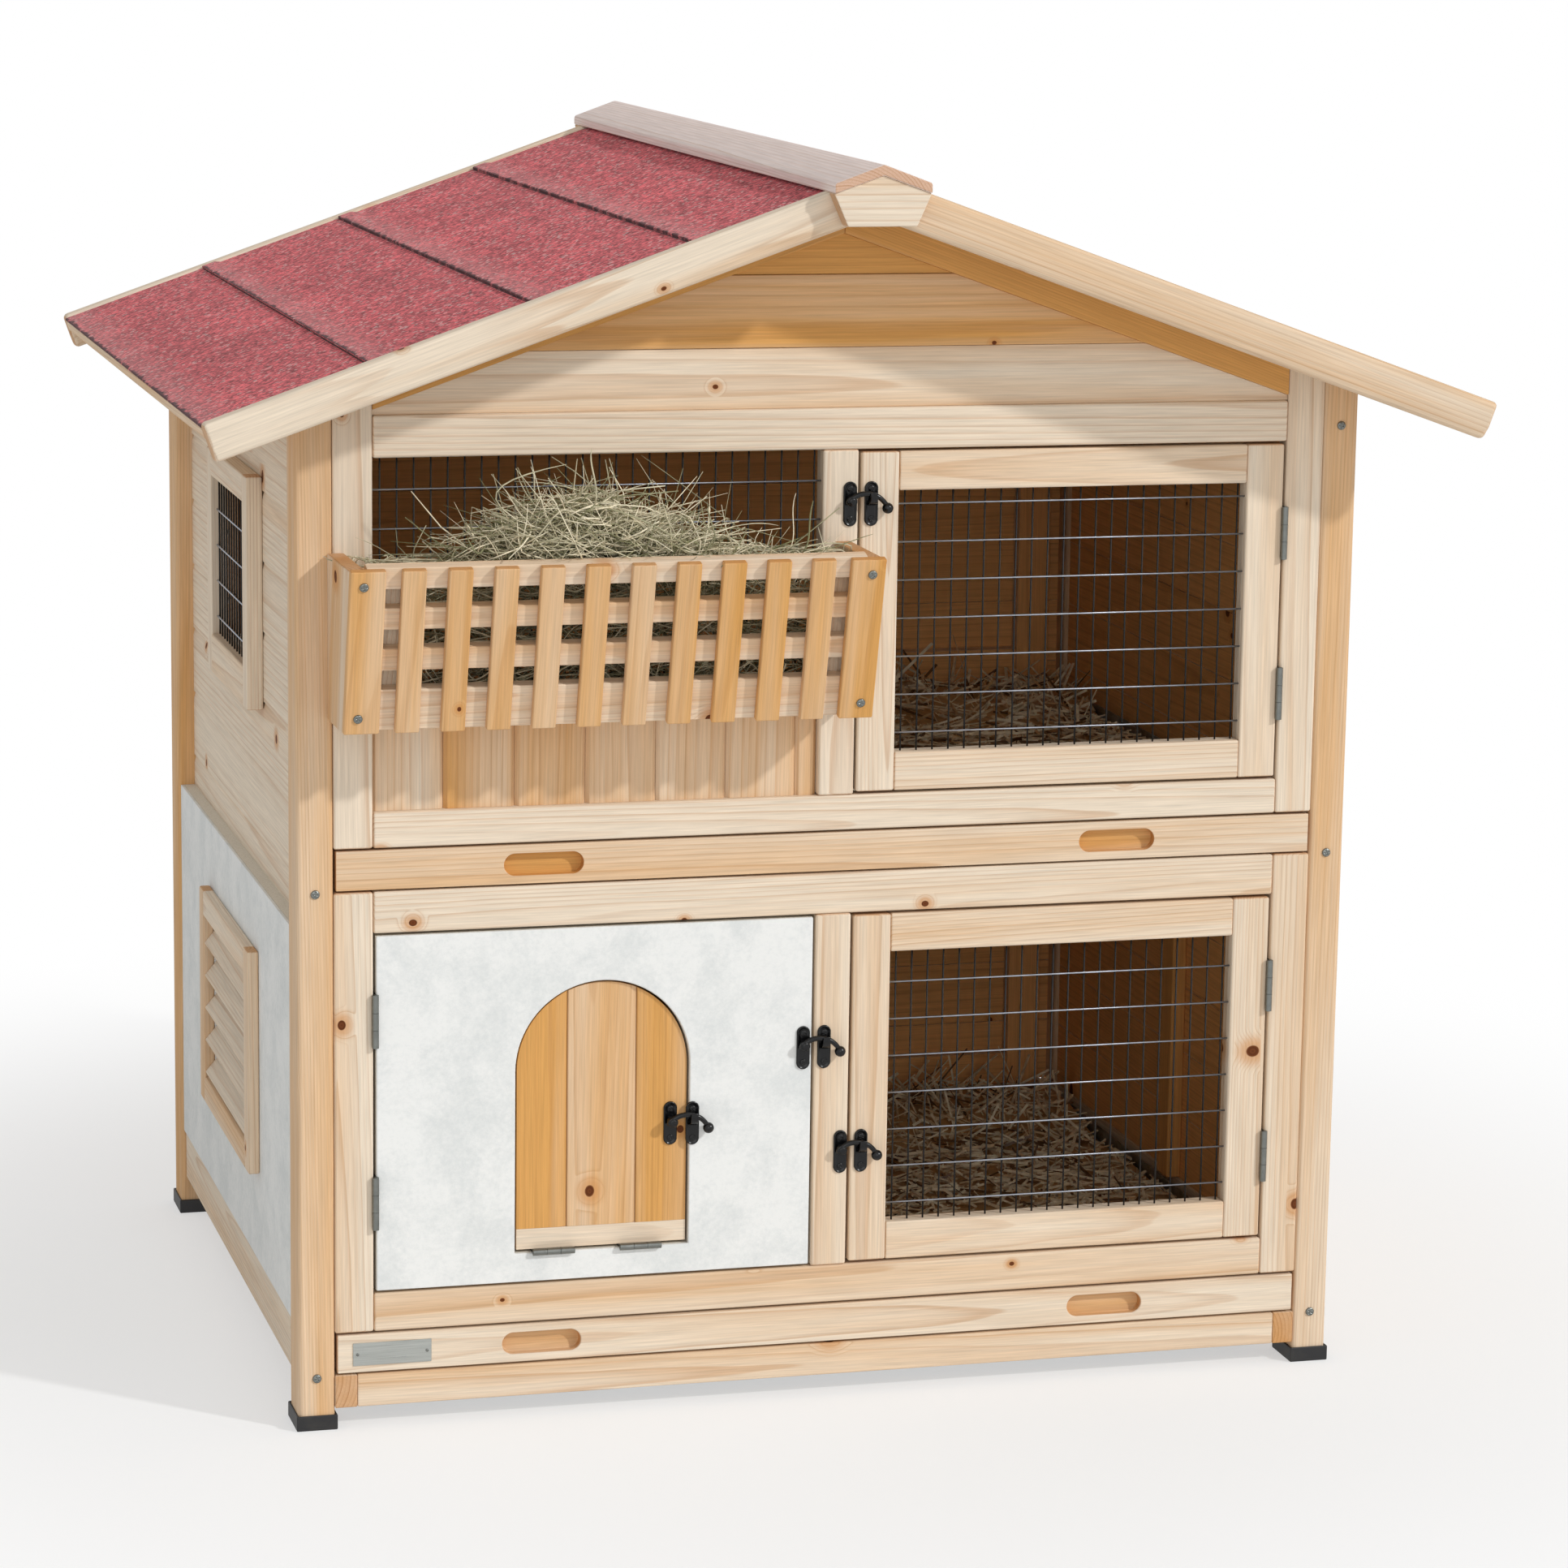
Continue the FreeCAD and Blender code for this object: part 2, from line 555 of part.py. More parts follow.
# ---------------------------------------------------------------- hinges
def hinge(length, radius, place):
    """Fixed leaf, moving leaf and pin of a butt hinge. Built on the Z axis, with the
    fixed leaf on +X and the moving leaf on -X, then turned into place."""
    half = length / 2
    knuckle = length / 3
    clear = 0.3
    near = radius + clear
    leaves = []
    for side, spans in ((1, ((-half, -half + knuckle), (half - knuckle, half))),
                        (-1, ((-half + knuckle + clear, half - knuckle - clear),))):
        x0, x1 = sorted((side * 0.25, side * (0.25 + LEAF_T)))
        leaf = box(x0, x1, near, LEAF_DEEP, -half, half)
        for z0, z1 in spans:
            leaf = leaf.fuse(box(x0, x1, 0, near, z0, z1))
            leaf = leaf.fuse(Part.makeCylinder(radius, z1 - z0, V(0, 0, z0)))
        bore = PIN_R if side > 0 else PIN_R + RUNNING
        leaves.append(leaf.cut(Part.makeCylinder(bore, length + 2, V(0, 0, -half - 1))).removeSplitter())
    pin = Part.makeCylinder(PIN_R, length + 1, V(0, 0, -half - 0.5))
    return [place(solid) for solid in (leaves[0], leaves[1], pin)]


def right_hung(x, z):
    def place(solid):
        solid.translate(V(x, FRONT - HINGE_R, z))
        return solid
    return place


def left_hung(x, z):
    def place(solid):
        solid.rotate(V(0, 0, 0), V(0, 1, 0), 180)
        solid.translate(V(x, FRONT - HINGE_R, z))
        return solid
    return place


def sill_hung(x, z):
    def place(solid):
        solid.rotate(V(0, 0, 0), V(0, 1, 0), 90)
        solid.translate(V(x, FRONT - HINGE_R, z))
        return solid
    return place


DOOR_AXIS_X = BAY - STILE_W - GAP / 2
FLAP_AXIS_Z = ARCH_Z[0] + GAP / 2
UPPER_HINGES = (640.0, 788.0)
LOWER_HINGES = (203.0, 366.0)
INSULATED_HINGES = (207.0, 373.0)
FLAP_HINGES = (-257.0, -177.0)


def hinges():
    fixed, pins = [], []
    for name, places in (("upper_door_hinge_leaves", [right_hung(DOOR_AXIS_X, z) for z in UPPER_HINGES]),
                         ("lower_door_hinge_leaves", [right_hung(DOOR_AXIS_X, z) for z in LOWER_HINGES]),
                         ("", [left_hung(-DOOR_AXIS_X, z) for z in INSULATED_HINGES])):
        moving = []
        for place in places:
            one = hinge(HINGE_L, HINGE_R, place)
            fixed.append(one[0])
            moving.append(one[1])
            pins.append(one[2])
        if name:
            write(name, moving)
    write("fixed_hinge_leaves", fixed)
    write("door_hinge_pins", pins)
    on_door, on_flap, flap_pins = moving, [], []
    for x in FLAP_HINGES:
        one = hinge(FLAP_HINGE_L, HINGE_R, sill_hung(x, FLAP_AXIS_Z))
        on_door.append(one[0])
        on_flap.append(one[1])
        flap_pins.append(one[2])
    write("insulated_door_hinge_leaves", on_door)
    write("flap_hinge_leaves", on_flap)
    write("flap_hinge_pins", flap_pins)


# ---------------------------------------------------------------- latches
PLATE_W = 12.4
PLATE_H = 40.0
PLATE_T = 2.0
BOSS = 3.0              # height of the pivot boss on its plate
HOOK_T = 4.0
HOOK_PIVOT_Z = 3.0      # the hook's pivot above the middle of its plate
KNOB_R = 4.8
KEEPER_X = 19.5         # distance between the two plates of a latch


def pivot_plate(x, z, face, boss):
    plate = stadium(PLATE_H, PLATE_W, x, z, face - PLATE_T, face, True)
    pivot_z = z + HOOK_PIVOT_Z
    front = face - PLATE_T - boss
    plate = plate.fuse(cylinder_y(4.2, x, pivot_z, front, face - PLATE_T))
    plate = plate.fuse(cylinder_y(2.0, x, pivot_z, front - HOOK_T - 0.3, front))
    return plate.fuse(cylinder_y(3.4, x, pivot_z, front - HOOK_T - 1.3, front - HOOK_T - 0.3))


def hook(x, z, face):
    """Curved arm with an eye at the pivot and a ball at its free end."""
    near = face - PLATE_T - BOSS
    y = near - 0.15 - HOOK_T / 2
    arc = Part.Arc(V(x, y, z + HOOK_PIVOT_Z), V(x + 15.0, y, z + 9.6), V(x + 33.0, y, z - 3.5))
    path = Part.Wire([arc.toShape()])
    start = arc.tangent(arc.FirstParameter)[0]
    ring = Part.Wire([Part.makeCircle(HOOK_T / 2 - 0.05, V(x, y, z + HOOK_PIVOT_Z), start)])
    arm = path.makePipeShell([ring], True, True)
    knob = Part.makeSphere(KNOB_R, V(x + 33.0, y, z - 3.5))
    eye = cylinder_y(4.6, x, z + HOOK_PIVOT_Z, near - 0.15 - HOOK_T, near - 0.15)
    bore = cylinder_y(2.0 + RUNNING, x, z + HOOK_PIVOT_Z, near - 10, near + 2)
    return arm.fuse(knob).fuse(eye).cut(bore)


def keeper(x, z, face):
    """Plate with a cradle that the arm drops into, open at the top."""
    plate = stadium(PLATE_H, PLATE_W, x, z, face - PLATE_T, face, True)
    near = face - PLATE_T
    lip_back = near - BOSS - 4.9
    lip_front = lip_back - 1.8
    side = [(near, z - 4.0), (lip_front, z + 1.0), (lip_front, z + 11.5), (lip_back, z + 11.5),
            (lip_back, z + 5.2), (near, z + 5.2)]
    return plate.fuse(prism([(x - 3.5, y, level) for y, level in side], (7.0, 0, 0)))


UPPER_LATCH = (8.5, 823.0)
INSULATED_LATCH = (-27.0, 329.0)
LOWER_LATCH = (9.3, 230.0)
FLAP_LATCH = (-149.0, 264.5)


def latches():
    plates = []
    for name, (x, z) in (("upper_door", UPPER_LATCH), ("lower_door", LOWER_LATCH)):
        plates.append(pivot_plate(x, z, FRONT, BOSS))
        write(name + "_hook", [hook(x, z, FRONT)])
        write(name + "_keeper", [keeper(x + KEEPER_X, z, FRONT)])
    x, z = INSULATED_LATCH
    plates.append(keeper(x + KEEPER_X, z, FRONT))
    write("stile_latch_plates", plates)
    write("insulated_door_hook", [hook(x, z, FRONT)])
    flap_x, flap_z = FLAP_LATCH
    write("insulated_door_latch_plates", [pivot_plate(x, z, FRONT, BOSS),
                                          keeper(flap_x + KEEPER_X, flap_z, FRONT)])
    write("flap_latch_plate", [pivot_plate(flap_x, flap_z, FRONT + FLAP_BACK, BOSS + FLAP_BACK)])
    write("flap_hook", [hook(flap_x, flap_z, FRONT)])


# ---------------------------------------------------------------- doors
def wire_door(name, z0, z1):
    x0, x1 = MID_HALF + GAP, BAY - STILE_W - GAP
    z0, z1 = z0 + GAP, z1 - GAP
    y0, y1 = FRONT, FRONT + DOOR_T
    side = DOOR_MEMBER
    frame = [box(x0, x0 + side, y0, y1, z0, z1),
             box(x1 - side, x1, y0, y1, z0, z1),
             box(x0 + side, x1 - side, y0, y1, z0, z0 + side),
             box(x0 + side, x1 - side, y0, y1, z1 - side, z1)]
    write(name + "_frame", frame)
    write(name + "_mesh", wire_grille(x0 + side, x1 - side, z0 + side, z1 - side,
                                      lambda u, d, z: (u, FRONT + MESH_IN + d, z)))


def arch(inset, y0, y1):
    """The arched opening, or with an inset the slightly smaller flap that closes it."""
    half = ARCH_HALF - inset
    body = box(ARCH_X - half, ARCH_X + half, y0, y1, ARCH_Z[0] + (GAP if inset else 0), ARCH_Z[1])
    return body.fuse(cylinder_y(half, ARCH_X, ARCH_Z[1], y0, y1)).removeSplitter()


def insulated_door():
    x0, x1 = -BAY + STILE_W + GAP, -MID_HALF - GAP
    z0, z1 = LOW_OPEN_Z[0] + GAP, LOW_OPEN_Z[1] - GAP
    hole = arch(0, FRONT - 5, FRONT + 40)
    levels = (FRONT, FRONT + SKIN_T, FRONT + SKIN_T + CORE_T, FRONT + 2 * SKIN_T + CORE_T)
    layers = [box(x0, x1, near, far, z0, z1).cut(hole) for near, far in zip(levels, levels[1:])]
    write("insulated_door_skins", [layers[0], layers[2]])
    write("insulated_door_core", [layers[1]])

    face = FRONT + FLAP_BACK
    outline = arch(FLAP_PLAY, face, face + BOARD_T)
    low = ARCH_Z[0] + GAP
    sill = low + FLAP_CLEAT
    cleat = outline.common(box(ARCH_X - ARCH_HALF, ARCH_X + ARCH_HALF, face, face + BOARD_T, low, sill))
    half = 1.5 * FLAP_PITCH
    rows = boards(lambda depth, x: (x, face + depth, sill), (0, 0, ARCH_Z[1]),
                  ARCH_X - half, ARCH_X + half, FLAP_PITCH)
    pieces = [piece for row in rows for piece in row.common(outline).Solids]
    write("flap_boards", pieces + cleat.Solids)


# ---------------------------------------------------------------- trays
def tray(name, low, high):
    x = BAY - TRAY_TRAVEL_CLEAR
    front = box(-x, x, FRONT, FRONT + TRAY_T, low, high)
    for centre in (-PULL_X, PULL_X):
        front = front.cut(stadium(PULL_LEN, PULL_H, centre, (low + high) / 2,
                                  FRONT - 1, FRONT + PULL_DEEP, False))
    write(name + "_front", [front])
    x = BAY - 5.0
    y0, y1 = FRONT + TRAY_T, -INNER_Y
    pan = box(-x, x, y0, y1, low - 1.0, high - 1.5)
    pan = pan.cut(box(PAN_T - x, x - PAN_T, y0 + PAN_T, y1 - PAN_T, low - 1.0 + PAN_T, high))
    write(name + "_pan", [pan])


BADGE_X = (-439.0, -368.0)
BADGE_Z = (57.5, 78.5)
BADGE_T = 1.0


def badge():
    write("badge_plate", [box(*BADGE_X, FRONT - BADGE_T, FRONT, *BADGE_Z)])


def main():
    os.makedirs("parts", exist_ok=True)
    posts()
    rails_and_bearers()
    front_frames()
    front_cladding()
    side_walls()
    left_wall_fittings()
    back_wall()
    divider()
    roof()
    hay_rack()
    screws()
    hinges()
    latches()
    wire_door("upper_door", *UP_OPEN_Z)
    wire_door("lower_door", *LOW_OPEN_Z)
    insulated_door()
    tray("upper_tray", *TRAY_UP_Z)
    tray("lower_tray", *TRAY_LOW_Z)
    badge()


main()
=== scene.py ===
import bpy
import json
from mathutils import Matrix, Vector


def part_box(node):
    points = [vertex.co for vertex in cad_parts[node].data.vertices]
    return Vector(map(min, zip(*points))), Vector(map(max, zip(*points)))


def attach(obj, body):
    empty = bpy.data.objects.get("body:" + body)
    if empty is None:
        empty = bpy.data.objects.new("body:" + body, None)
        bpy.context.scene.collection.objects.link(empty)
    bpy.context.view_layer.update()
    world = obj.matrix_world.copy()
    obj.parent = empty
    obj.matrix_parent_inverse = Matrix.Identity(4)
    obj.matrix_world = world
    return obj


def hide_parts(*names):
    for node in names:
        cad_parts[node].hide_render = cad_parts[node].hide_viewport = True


bl_info = {
    "name": "Two-storey rabbit hutch",
    "version": (1, 0, 0),
    "blender": (4, 5, 0),
    "location": "3D View > Sidebar > Hutch",
    "description": "Finishes a pine rabbit hutch with a felted roof, wire doors and a hay rack",
    "category": "Object",
}

import json
import math
import zlib
from functools import partial

import bmesh
import bpy
import numpy as np
from bpy.props import FloatProperty, FloatVectorProperty, IntProperty, PointerProperty
from mathutils import Matrix, Vector

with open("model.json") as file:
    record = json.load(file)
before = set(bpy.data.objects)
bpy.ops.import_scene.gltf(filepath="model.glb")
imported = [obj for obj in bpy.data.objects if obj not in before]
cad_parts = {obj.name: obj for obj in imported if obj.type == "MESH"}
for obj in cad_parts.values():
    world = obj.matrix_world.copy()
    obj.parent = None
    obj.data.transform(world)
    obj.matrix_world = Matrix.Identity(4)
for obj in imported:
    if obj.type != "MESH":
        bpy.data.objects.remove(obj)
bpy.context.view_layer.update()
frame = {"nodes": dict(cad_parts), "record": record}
MM = 0.001
FRONT = -385 * MM  # outer face of the front frames and of the closed doors


def linear(code):
    """Linear red, green, blue and alpha of an sRGB hex colour."""
    parts = [int(code[n:n + 2], 16) / 255 for n in (1, 3, 5)]
    return (*[c / 12.92 if c <= 0.04045 else ((c + 0.055) / 1.055) ** 2.4 for c in parts], 1.0)


def colour(code, name, description):
    """A colour that the user can change, from its sRGB hex value."""
    return FloatVectorProperty(name=name, description=description, subtype="COLOR", size=4,
                               min=0, max=1, default=linear(code))


# ---------------------------------------------------------------- settings

class PineSettings(bpy.types.PropertyGroup):
    sapwood: colour("#ECDDC8", "Sapwood", "Palest wood, from the outside of the log")
    heartwood: colour("#DBA45F", "Heartwood", "Darkest wood, from the middle of the log")
    latewood: colour("#BB8347", "Latewood", "Tint of the dark line in each year's growth")
    knot: colour("#6E3B1C", "Knot", "Middle of a knot")
    halo: colour("#C98A4A", "Knot halo", "Resinous wood round a knot")
    # painted reflection: a pale pinkish white that stands for the sky's glare on the ridge cap
    painted_glare: colour("#F7E7E2", "Bleached", "Wood that sun and rain have turned pale")
    # painted light: a brighter, warmer tint that inside faces take in place of the warm light that
    # bounces about in the cages
    painted_bounce: colour("#FABE7C", "Unfaded", "Warmer wood inside, which the sun hasn't bleached")
    end_grain: colour("#C58C52", "End grain", "Sawn end, which soaks up more light")
    ring: FloatProperty(name="Growth ring", description="Usual distance between growth rings",
                        default=3.4 * MM, min=1 * MM, max=12 * MM, unit="LENGTH")
    knot_share: FloatProperty(name="Knots", description="Share of the branches that show a knot",
                              default=0.2, min=0, max=1, subtype="FACTOR")


class RoofSettings(bpy.types.PropertyGroup):
    felt: colour("#C35B60", "Felt", "Mineral granules of the roofing felt")
    # the dark band along each course's lower edge: partly bare bitumen, partly painted shade of the
    # lap
    lap: colour("#3E2A2E", "Lap", "Bare bitumen along the edge of a course")
    granule: FloatProperty(name="Granule", description="Grain size of the mineral coat",
                           default=3.0 * MM, min=0.5 * MM, max=6 * MM, unit="LENGTH")


class PanelSettings(bpy.types.PropertyGroup):
    board: colour("#EBECEA", "Board", "Pale ground of the cement-look board")
    cloud: colour("#DADDDC", "Cloud", "Greyer clouds in the board")


class MetalSettings(bpy.types.PropertyGroup):
    zinc: colour("#7B7D79", "Zinc", "Zinc-plated hinges and screws")
    wire: colour("#9EA2AA", "Level wire", "Level wires of the mesh, with bright zinc")
    # painted shade: the upright wires are drawn dark to stand for the shade behind the level wires
    painted_shade_wire: colour("#211F1D", "Upright wire", "Upright wires of the mesh, dulled and dusty")
    lacquer: colour("#060607", "Lacquer", "Gloss black of the latches")
    cap: colour("#18181A", "Foot cap", "Black moulded plastic")
    plate: colour("#B4B7B3", "Plate", "Brushed metal plate")
    wire_size: FloatProperty(name="Wire", description="Diameter of the mesh wire",
                             default=1.7 * MM, min=0.5 * MM, max=4 * MM, unit="LENGTH")


class FillSettings(bpy.types.PropertyGroup):
    green_hay: colour("#83845C", "Green hay", "Greenest stalks of the hay")
    dry_hay: colour("#FFF4D6", "Dry hay", "Driest stalks of the hay")
    straw: colour("#FFF4D6", "Straw", "Fresh chopped straw")
    old_straw: colour("#6B4A2A", "Old straw", "Brown chips and bark in the litter")
    hay_stalks: IntProperty(name="Hay stalks", description="Stalks of hay in the rack",
                            default=2500, min=100, max=6000)
    straw_stalks: IntProperty(name="Straw stalks", description="Cut stalks on each tray",
                              default=5500, min=100, max=20000)


class StageSettings(bpy.types.PropertyGroup):
    azimuth: FloatProperty(name="Azimuth", description="Camera's turn round the hutch",
                           default=math.radians(-15.25), subtype="ANGLE")
    elevation: FloatProperty(name="Elevation", description="Camera's height angle",
                             default=math.radians(10.9), subtype="ANGLE")
    roll: FloatProperty(name="Roll", description="Camera's tilt about its own axis",
                        default=math.radians(0.83), subtype="ANGLE")
    distance: FloatProperty(name="Distance", description="Camera to target",
                            default=4.68964, unit="LENGTH")
    lens: FloatProperty(name="Lens", description="Focal length in mm on a 36 mm sensor",
                        default=112.43)
    key: FloatProperty(name="Key light", description="Strength of the high light on the right",
                       default=1.57, min=0)
    fill: FloatProperty(name="Fill light", description="Strength of the light beside the camera",
                        default=0.38, min=0)
    sky: FloatProperty(name="Sky light", description="Strength of the even light all round",
                       default=0.52, min=0)
    floor: colour("#F8F8F7", "Floor", "Plain pale floor")


GROUPS = {"hutch_pine": PineSettings, "hutch_roof": RoofSettings, "hutch_panels": PanelSettings,
          "hutch_metals": MetalSettings, "hutch_fill": FillSettings, "hutch_stage": StageSettings}


def settings(name):
    """One group of the hutch's settings."""
    return getattr(bpy.context.scene, "hutch_" + name)


# ---------------------------------------------------------------- node helpers

def wire(node, wires):
    """Sets inputs of a node, each to a number or a colour, or to another node's output. A node
    stands for the first of its outputs that is in use."""
    for key, value in wires.items():
        if isinstance(value, bpy.types.Node):
            value = next(socket for socket in value.outputs if socket.enabled)
        if isinstance(value, bpy.types.NodeSocket):
            node.id_data.links.new(value, node.inputs[key])
        else:
            node.inputs[key].default_value = value


def add_node(tree, kind, wires=None, stops=None, **values):
    """Adds one shader node. values set its own settings, and wires its inputs. A ramp takes stops,
    as pairs of a position and a grey."""
    node = tree.nodes.new("ShaderNode" + kind)
    for key, value in values.items():
        setattr(node, key, value)
    wire(node, wires or {})
    if stops:
        ramp = node.color_ramp.elements
        while len(ramp) < len(stops):
            ramp.new(0.5)
        for element, (place, grey) in zip(ramp, stops):
            element.position = place
            element.color = (grey, grey, grey, 1.0)
    return node


def material(name):
    """A new node material, the function that adds a node to it, and its surface shader, wired to
    the output."""
    made = bpy.data.materials.new(name)
    made.use_nodes = True
    made.node_tree.nodes.clear()
    add = partial(add_node, made.node_tree)
    shader = add("BsdfPrincipled")
    add("OutputMaterial", {"Surface": shader})
    return made, add, shader


def known(name, make):
    """The material of this name, made on first use."""
    return bpy.data.materials.get(name) or make(name)


# ---------------------------------------------------------------- materials

SWING = {1: 0.3, 2: 0.7}  # a noise seldom leaves this range, which a MapRange spreads over its own


def planed_pine(name):
    """Spruce or pine, planed and bare: a pale wood whose growth rings are cut through by the faces
    of each board.

    The board's own measures come from two attributes. "grain" is the place along the grain and in
    the two directions across it from the middle of the log, so the distance across is the ring
    radius. "cut" is the board's heartwood tone, its ring width and whether the face is a sawn end.
    Rings are 2 to 7 mm apart, with a dark latewood line that comes on slowly and stops sharply.
    Knots sit on branches that run straight out from the middle of the log, and push the rings round
    them."""
    look = settings("pine")
    made, add, shader = material(name)
    grain = add("Attribute", attribute_name="grain").outputs["Vector"]
    cut = add("SeparateXYZ", {0: add("Attribute", attribute_name="cut").outputs["Vector"]})
    tone, ring_width, end = cut.outputs
    along, over, out = add("SeparateXYZ", {0: grain}).outputs
    across = add("VectorMath", {0: grain, 1: (0, 1, 1)}, operation="MULTIPLY")
    radius = add("VectorMath", {0: across}, operation="LENGTH")
    turn = add("Math", {0: out, 1: over}, operation="ARCTAN2")

    # branches: one place each 230 mm of length and 50 degrees round the log, of which a share holds
    # a knot
    apart, arc = 0.23, 0.87
    spot = add("CombineXYZ", {0: add("Math", {0: along, 1: 1 / apart}, operation="MULTIPLY"),
                              1: add("Math", {0: turn, 1: 1 / arc}, operation="MULTIPLY")})
    branch = add("TexVoronoi", {"Vector": spot, "Scale": 1.0, "Randomness": 0.85},
                 voronoi_dimensions="2D", feature="F1")
    away = add("VectorMath", {0: spot, 1: branch.outputs["Position"]}, operation="SUBTRACT")
    away = add("VectorMath", {0: away, 1: (apart, arc, 0)}, operation="MULTIPLY")
    lengthwise, sideways, _ = add("SeparateXYZ", {0: away}).outputs
    sideways = add("Math", {0: sideways, 1: radius}, operation="MULTIPLY")
    lengthwise = add("Math", {0: lengthwise, 1: 0.8}, operation="MULTIPLY")
    off = add("CombineXYZ", {0: lengthwise, 1: sideways})
    off = add("VectorMath", {0: off}, operation="LENGTH")
    held, big, _ = add("SeparateColor", {0: branch.outputs["Color"]}).outputs
    held = add("Math", {0: held, 1: look.knot_share}, operation="LESS_THAN")
    size = add("MapRange", {0: big, 3: 1.6 * MM, 4: 4.8 * MM})
    share = add("Math", {0: off, 1: size}, operation="DIVIDE")
    core = add("MapRange", {0: share, 1: 0.85, 2: 1.05, 3: 1.0, 4: 0.0},
               interpolation_type="SMOOTHSTEP")
    core = add("Math", {0: core, 1: held}, operation="MULTIPLY")
    halo = add("MapRange", {0: share, 1: 0.8, 2: 4.5, 3: 1.0, 4: 0.0},
               interpolation_type="SMOOTHERSTEP")
    halo = add("Math", {0: halo, 1: held}, operation="MULTIPLY")

    # noises drawn out along the grain, each with its cells per metre along and across, detail and
    # roughness. Fibres a quarter of a millimetre wide are drawn at 1.5 mm so that they show, and
    # broad streaks at 40 mm.
    noises = []
    for along_it, across_it, detail, rough in ((1.3, 16, 2.0, 0.45), (9, 90, 1.0, 0.5),
                                               (14, 650, 3.0, 0.6), (1.2, 26, 3.0, 0.55)):
        drawn = add("VectorMath", {0: grain, 1: (along_it, across_it, across_it)},
                    operation="MULTIPLY")
        noises.append(add("TexNoise", {"Vector": drawn, "Scale": 1.0, "Detail": detail,
                                       "Roughness": rough}))
    wander, shiver, fibre, streak = noises

    # ring radius, wandering slowly along the board and pushed out round a knot
    pushed = add("Math", {0: halo, 1: 7 * MM, 2: radius}, operation="MULTIPLY_ADD")
    for noise, reach in ((wander, 3.2 * MM), (shiver, 0.5 * MM)):
        noise = add("MapRange", {0: noise, 3: -reach, 4: reach})
        pushed = add("Math", {0: pushed, 1: noise}, operation="ADD")
    years = add("Math", {0: pushed, 1: ring_width}, operation="DIVIDE")
    season = add("Math", {0: years}, operation="FRACT")
    late = add("ValToRGB", {0: season},
               stops=[(0.0, 0.08), (0.45, 0.12), (0.75, 0.42), (0.9, 1.0), (0.97, 0.85),
                      (1.0, 0.08)])
    year = add("Math", {0: years}, operation="FLOOR")
    year = add("TexWhiteNoise", {"W": year}, noise_dimensions="1D")
    weight = add("MapRange", {0: year, 3: 0.35, 4: 1.0})
    late = add("Math", {0: late, 1: weight}, operation="MULTIPLY")

    # heartwood by the board's tone and by streaks. Tones from one to two mix in a warm tint, which
    # is painted bounce light, and tones from minus one to minus two mix in a pale pinkish white,
    # which is a painted sky reflection
    heart = add("MapRange", {0: streak, **SWING, 3: -0.3, 4: 0.3})
    heart = add("Math", {0: heart, 1: tone}, operation="ADD", use_clamp=True)
    painted_bounce = add("MapRange", {0: tone, 1: 1.0, 2: 2.0})
    painted_glare = add("MapRange", {0: tone, 1: -1.0, 2: -2.0})
    lines = add("Math", {0: late, 1: 0.45}, operation="MULTIPLY")
    wood = look.sapwood
    for share, tint in ((heart, look.heartwood), (painted_bounce, look.painted_bounce), (painted_glare, look.painted_glare),
                        (lines, look.latewood)):
        wood = add("Mix", {0: share, 6: wood, 7: tint}, data_type="RGBA")
    shade = add("MapRange", {0: fibre, 1: 0.25, 2: 0.75, 3: 0.82, 4: 1.08})
    wood = add("VectorMath", {0: wood, 1: shade}, operation="MULTIPLY")

    # a resinous halo round each knot, the knot with rings of its own, and sawn ends with darker
    # lines
    soft = add("Math", {0: halo, 1: 0.75}, operation="MULTIPLY")
    soft = add("Math", {0: soft, 1: 1.7}, operation="POWER")
    ring = 1.3 * MM
    own_rings = add("Math", {0: off, 1: ring}, operation="PINGPONG")
    own_rings = add("MapRange", {0: own_rings, 1: 0.0, 2: ring, 3: 0.65, 4: 1.0})
    knot = add("VectorMath", {0: look.knot[:3], 1: own_rings}, operation="MULTIPLY")
    sawn = add("Math", {0: end, 1: 0.62}, operation="MULTIPLY")
    sawn_lines = add("Math", {0: lines, 1: end}, operation="MULTIPLY")
    for share, tint in ((soft, look.halo), (core, knot), (sawn, look.end_grain),
                        (sawn_lines, linear("#8A5426"))):
        wood = add("Mix", {0: share, 6: wood, 7: tint}, data_type="RGBA")

    height = add("Math", {0: fibre, 1: 0.6, 2: late}, operation="MULTIPLY_ADD")
    bump = add("Bump", {"Height": height, "Strength": 0.35, "Distance": 0.12 * MM})
    rough = add("MapRange", {0: late, 3: 0.74, 4: 0.6})
    wire(shader, {"Base Color": wood, "Roughness": rough, "Normal": bump,
                  "Specular IOR Level": 0.14})
    return made


def background_rays(add):
    """1 for the rays that show the background: the camera's own, and those seen in metal or through
    glass."""
    ray = add("LightPath").outputs
    seen = add("Math", {0: ray["Is Camera Ray"], 1: ray["Is Glossy Ray"]}, operation="MAXIMUM")
    return add("Math", {0: seen, 1: ray["Is Transmission Ray"]}, operation="MAXIMUM")


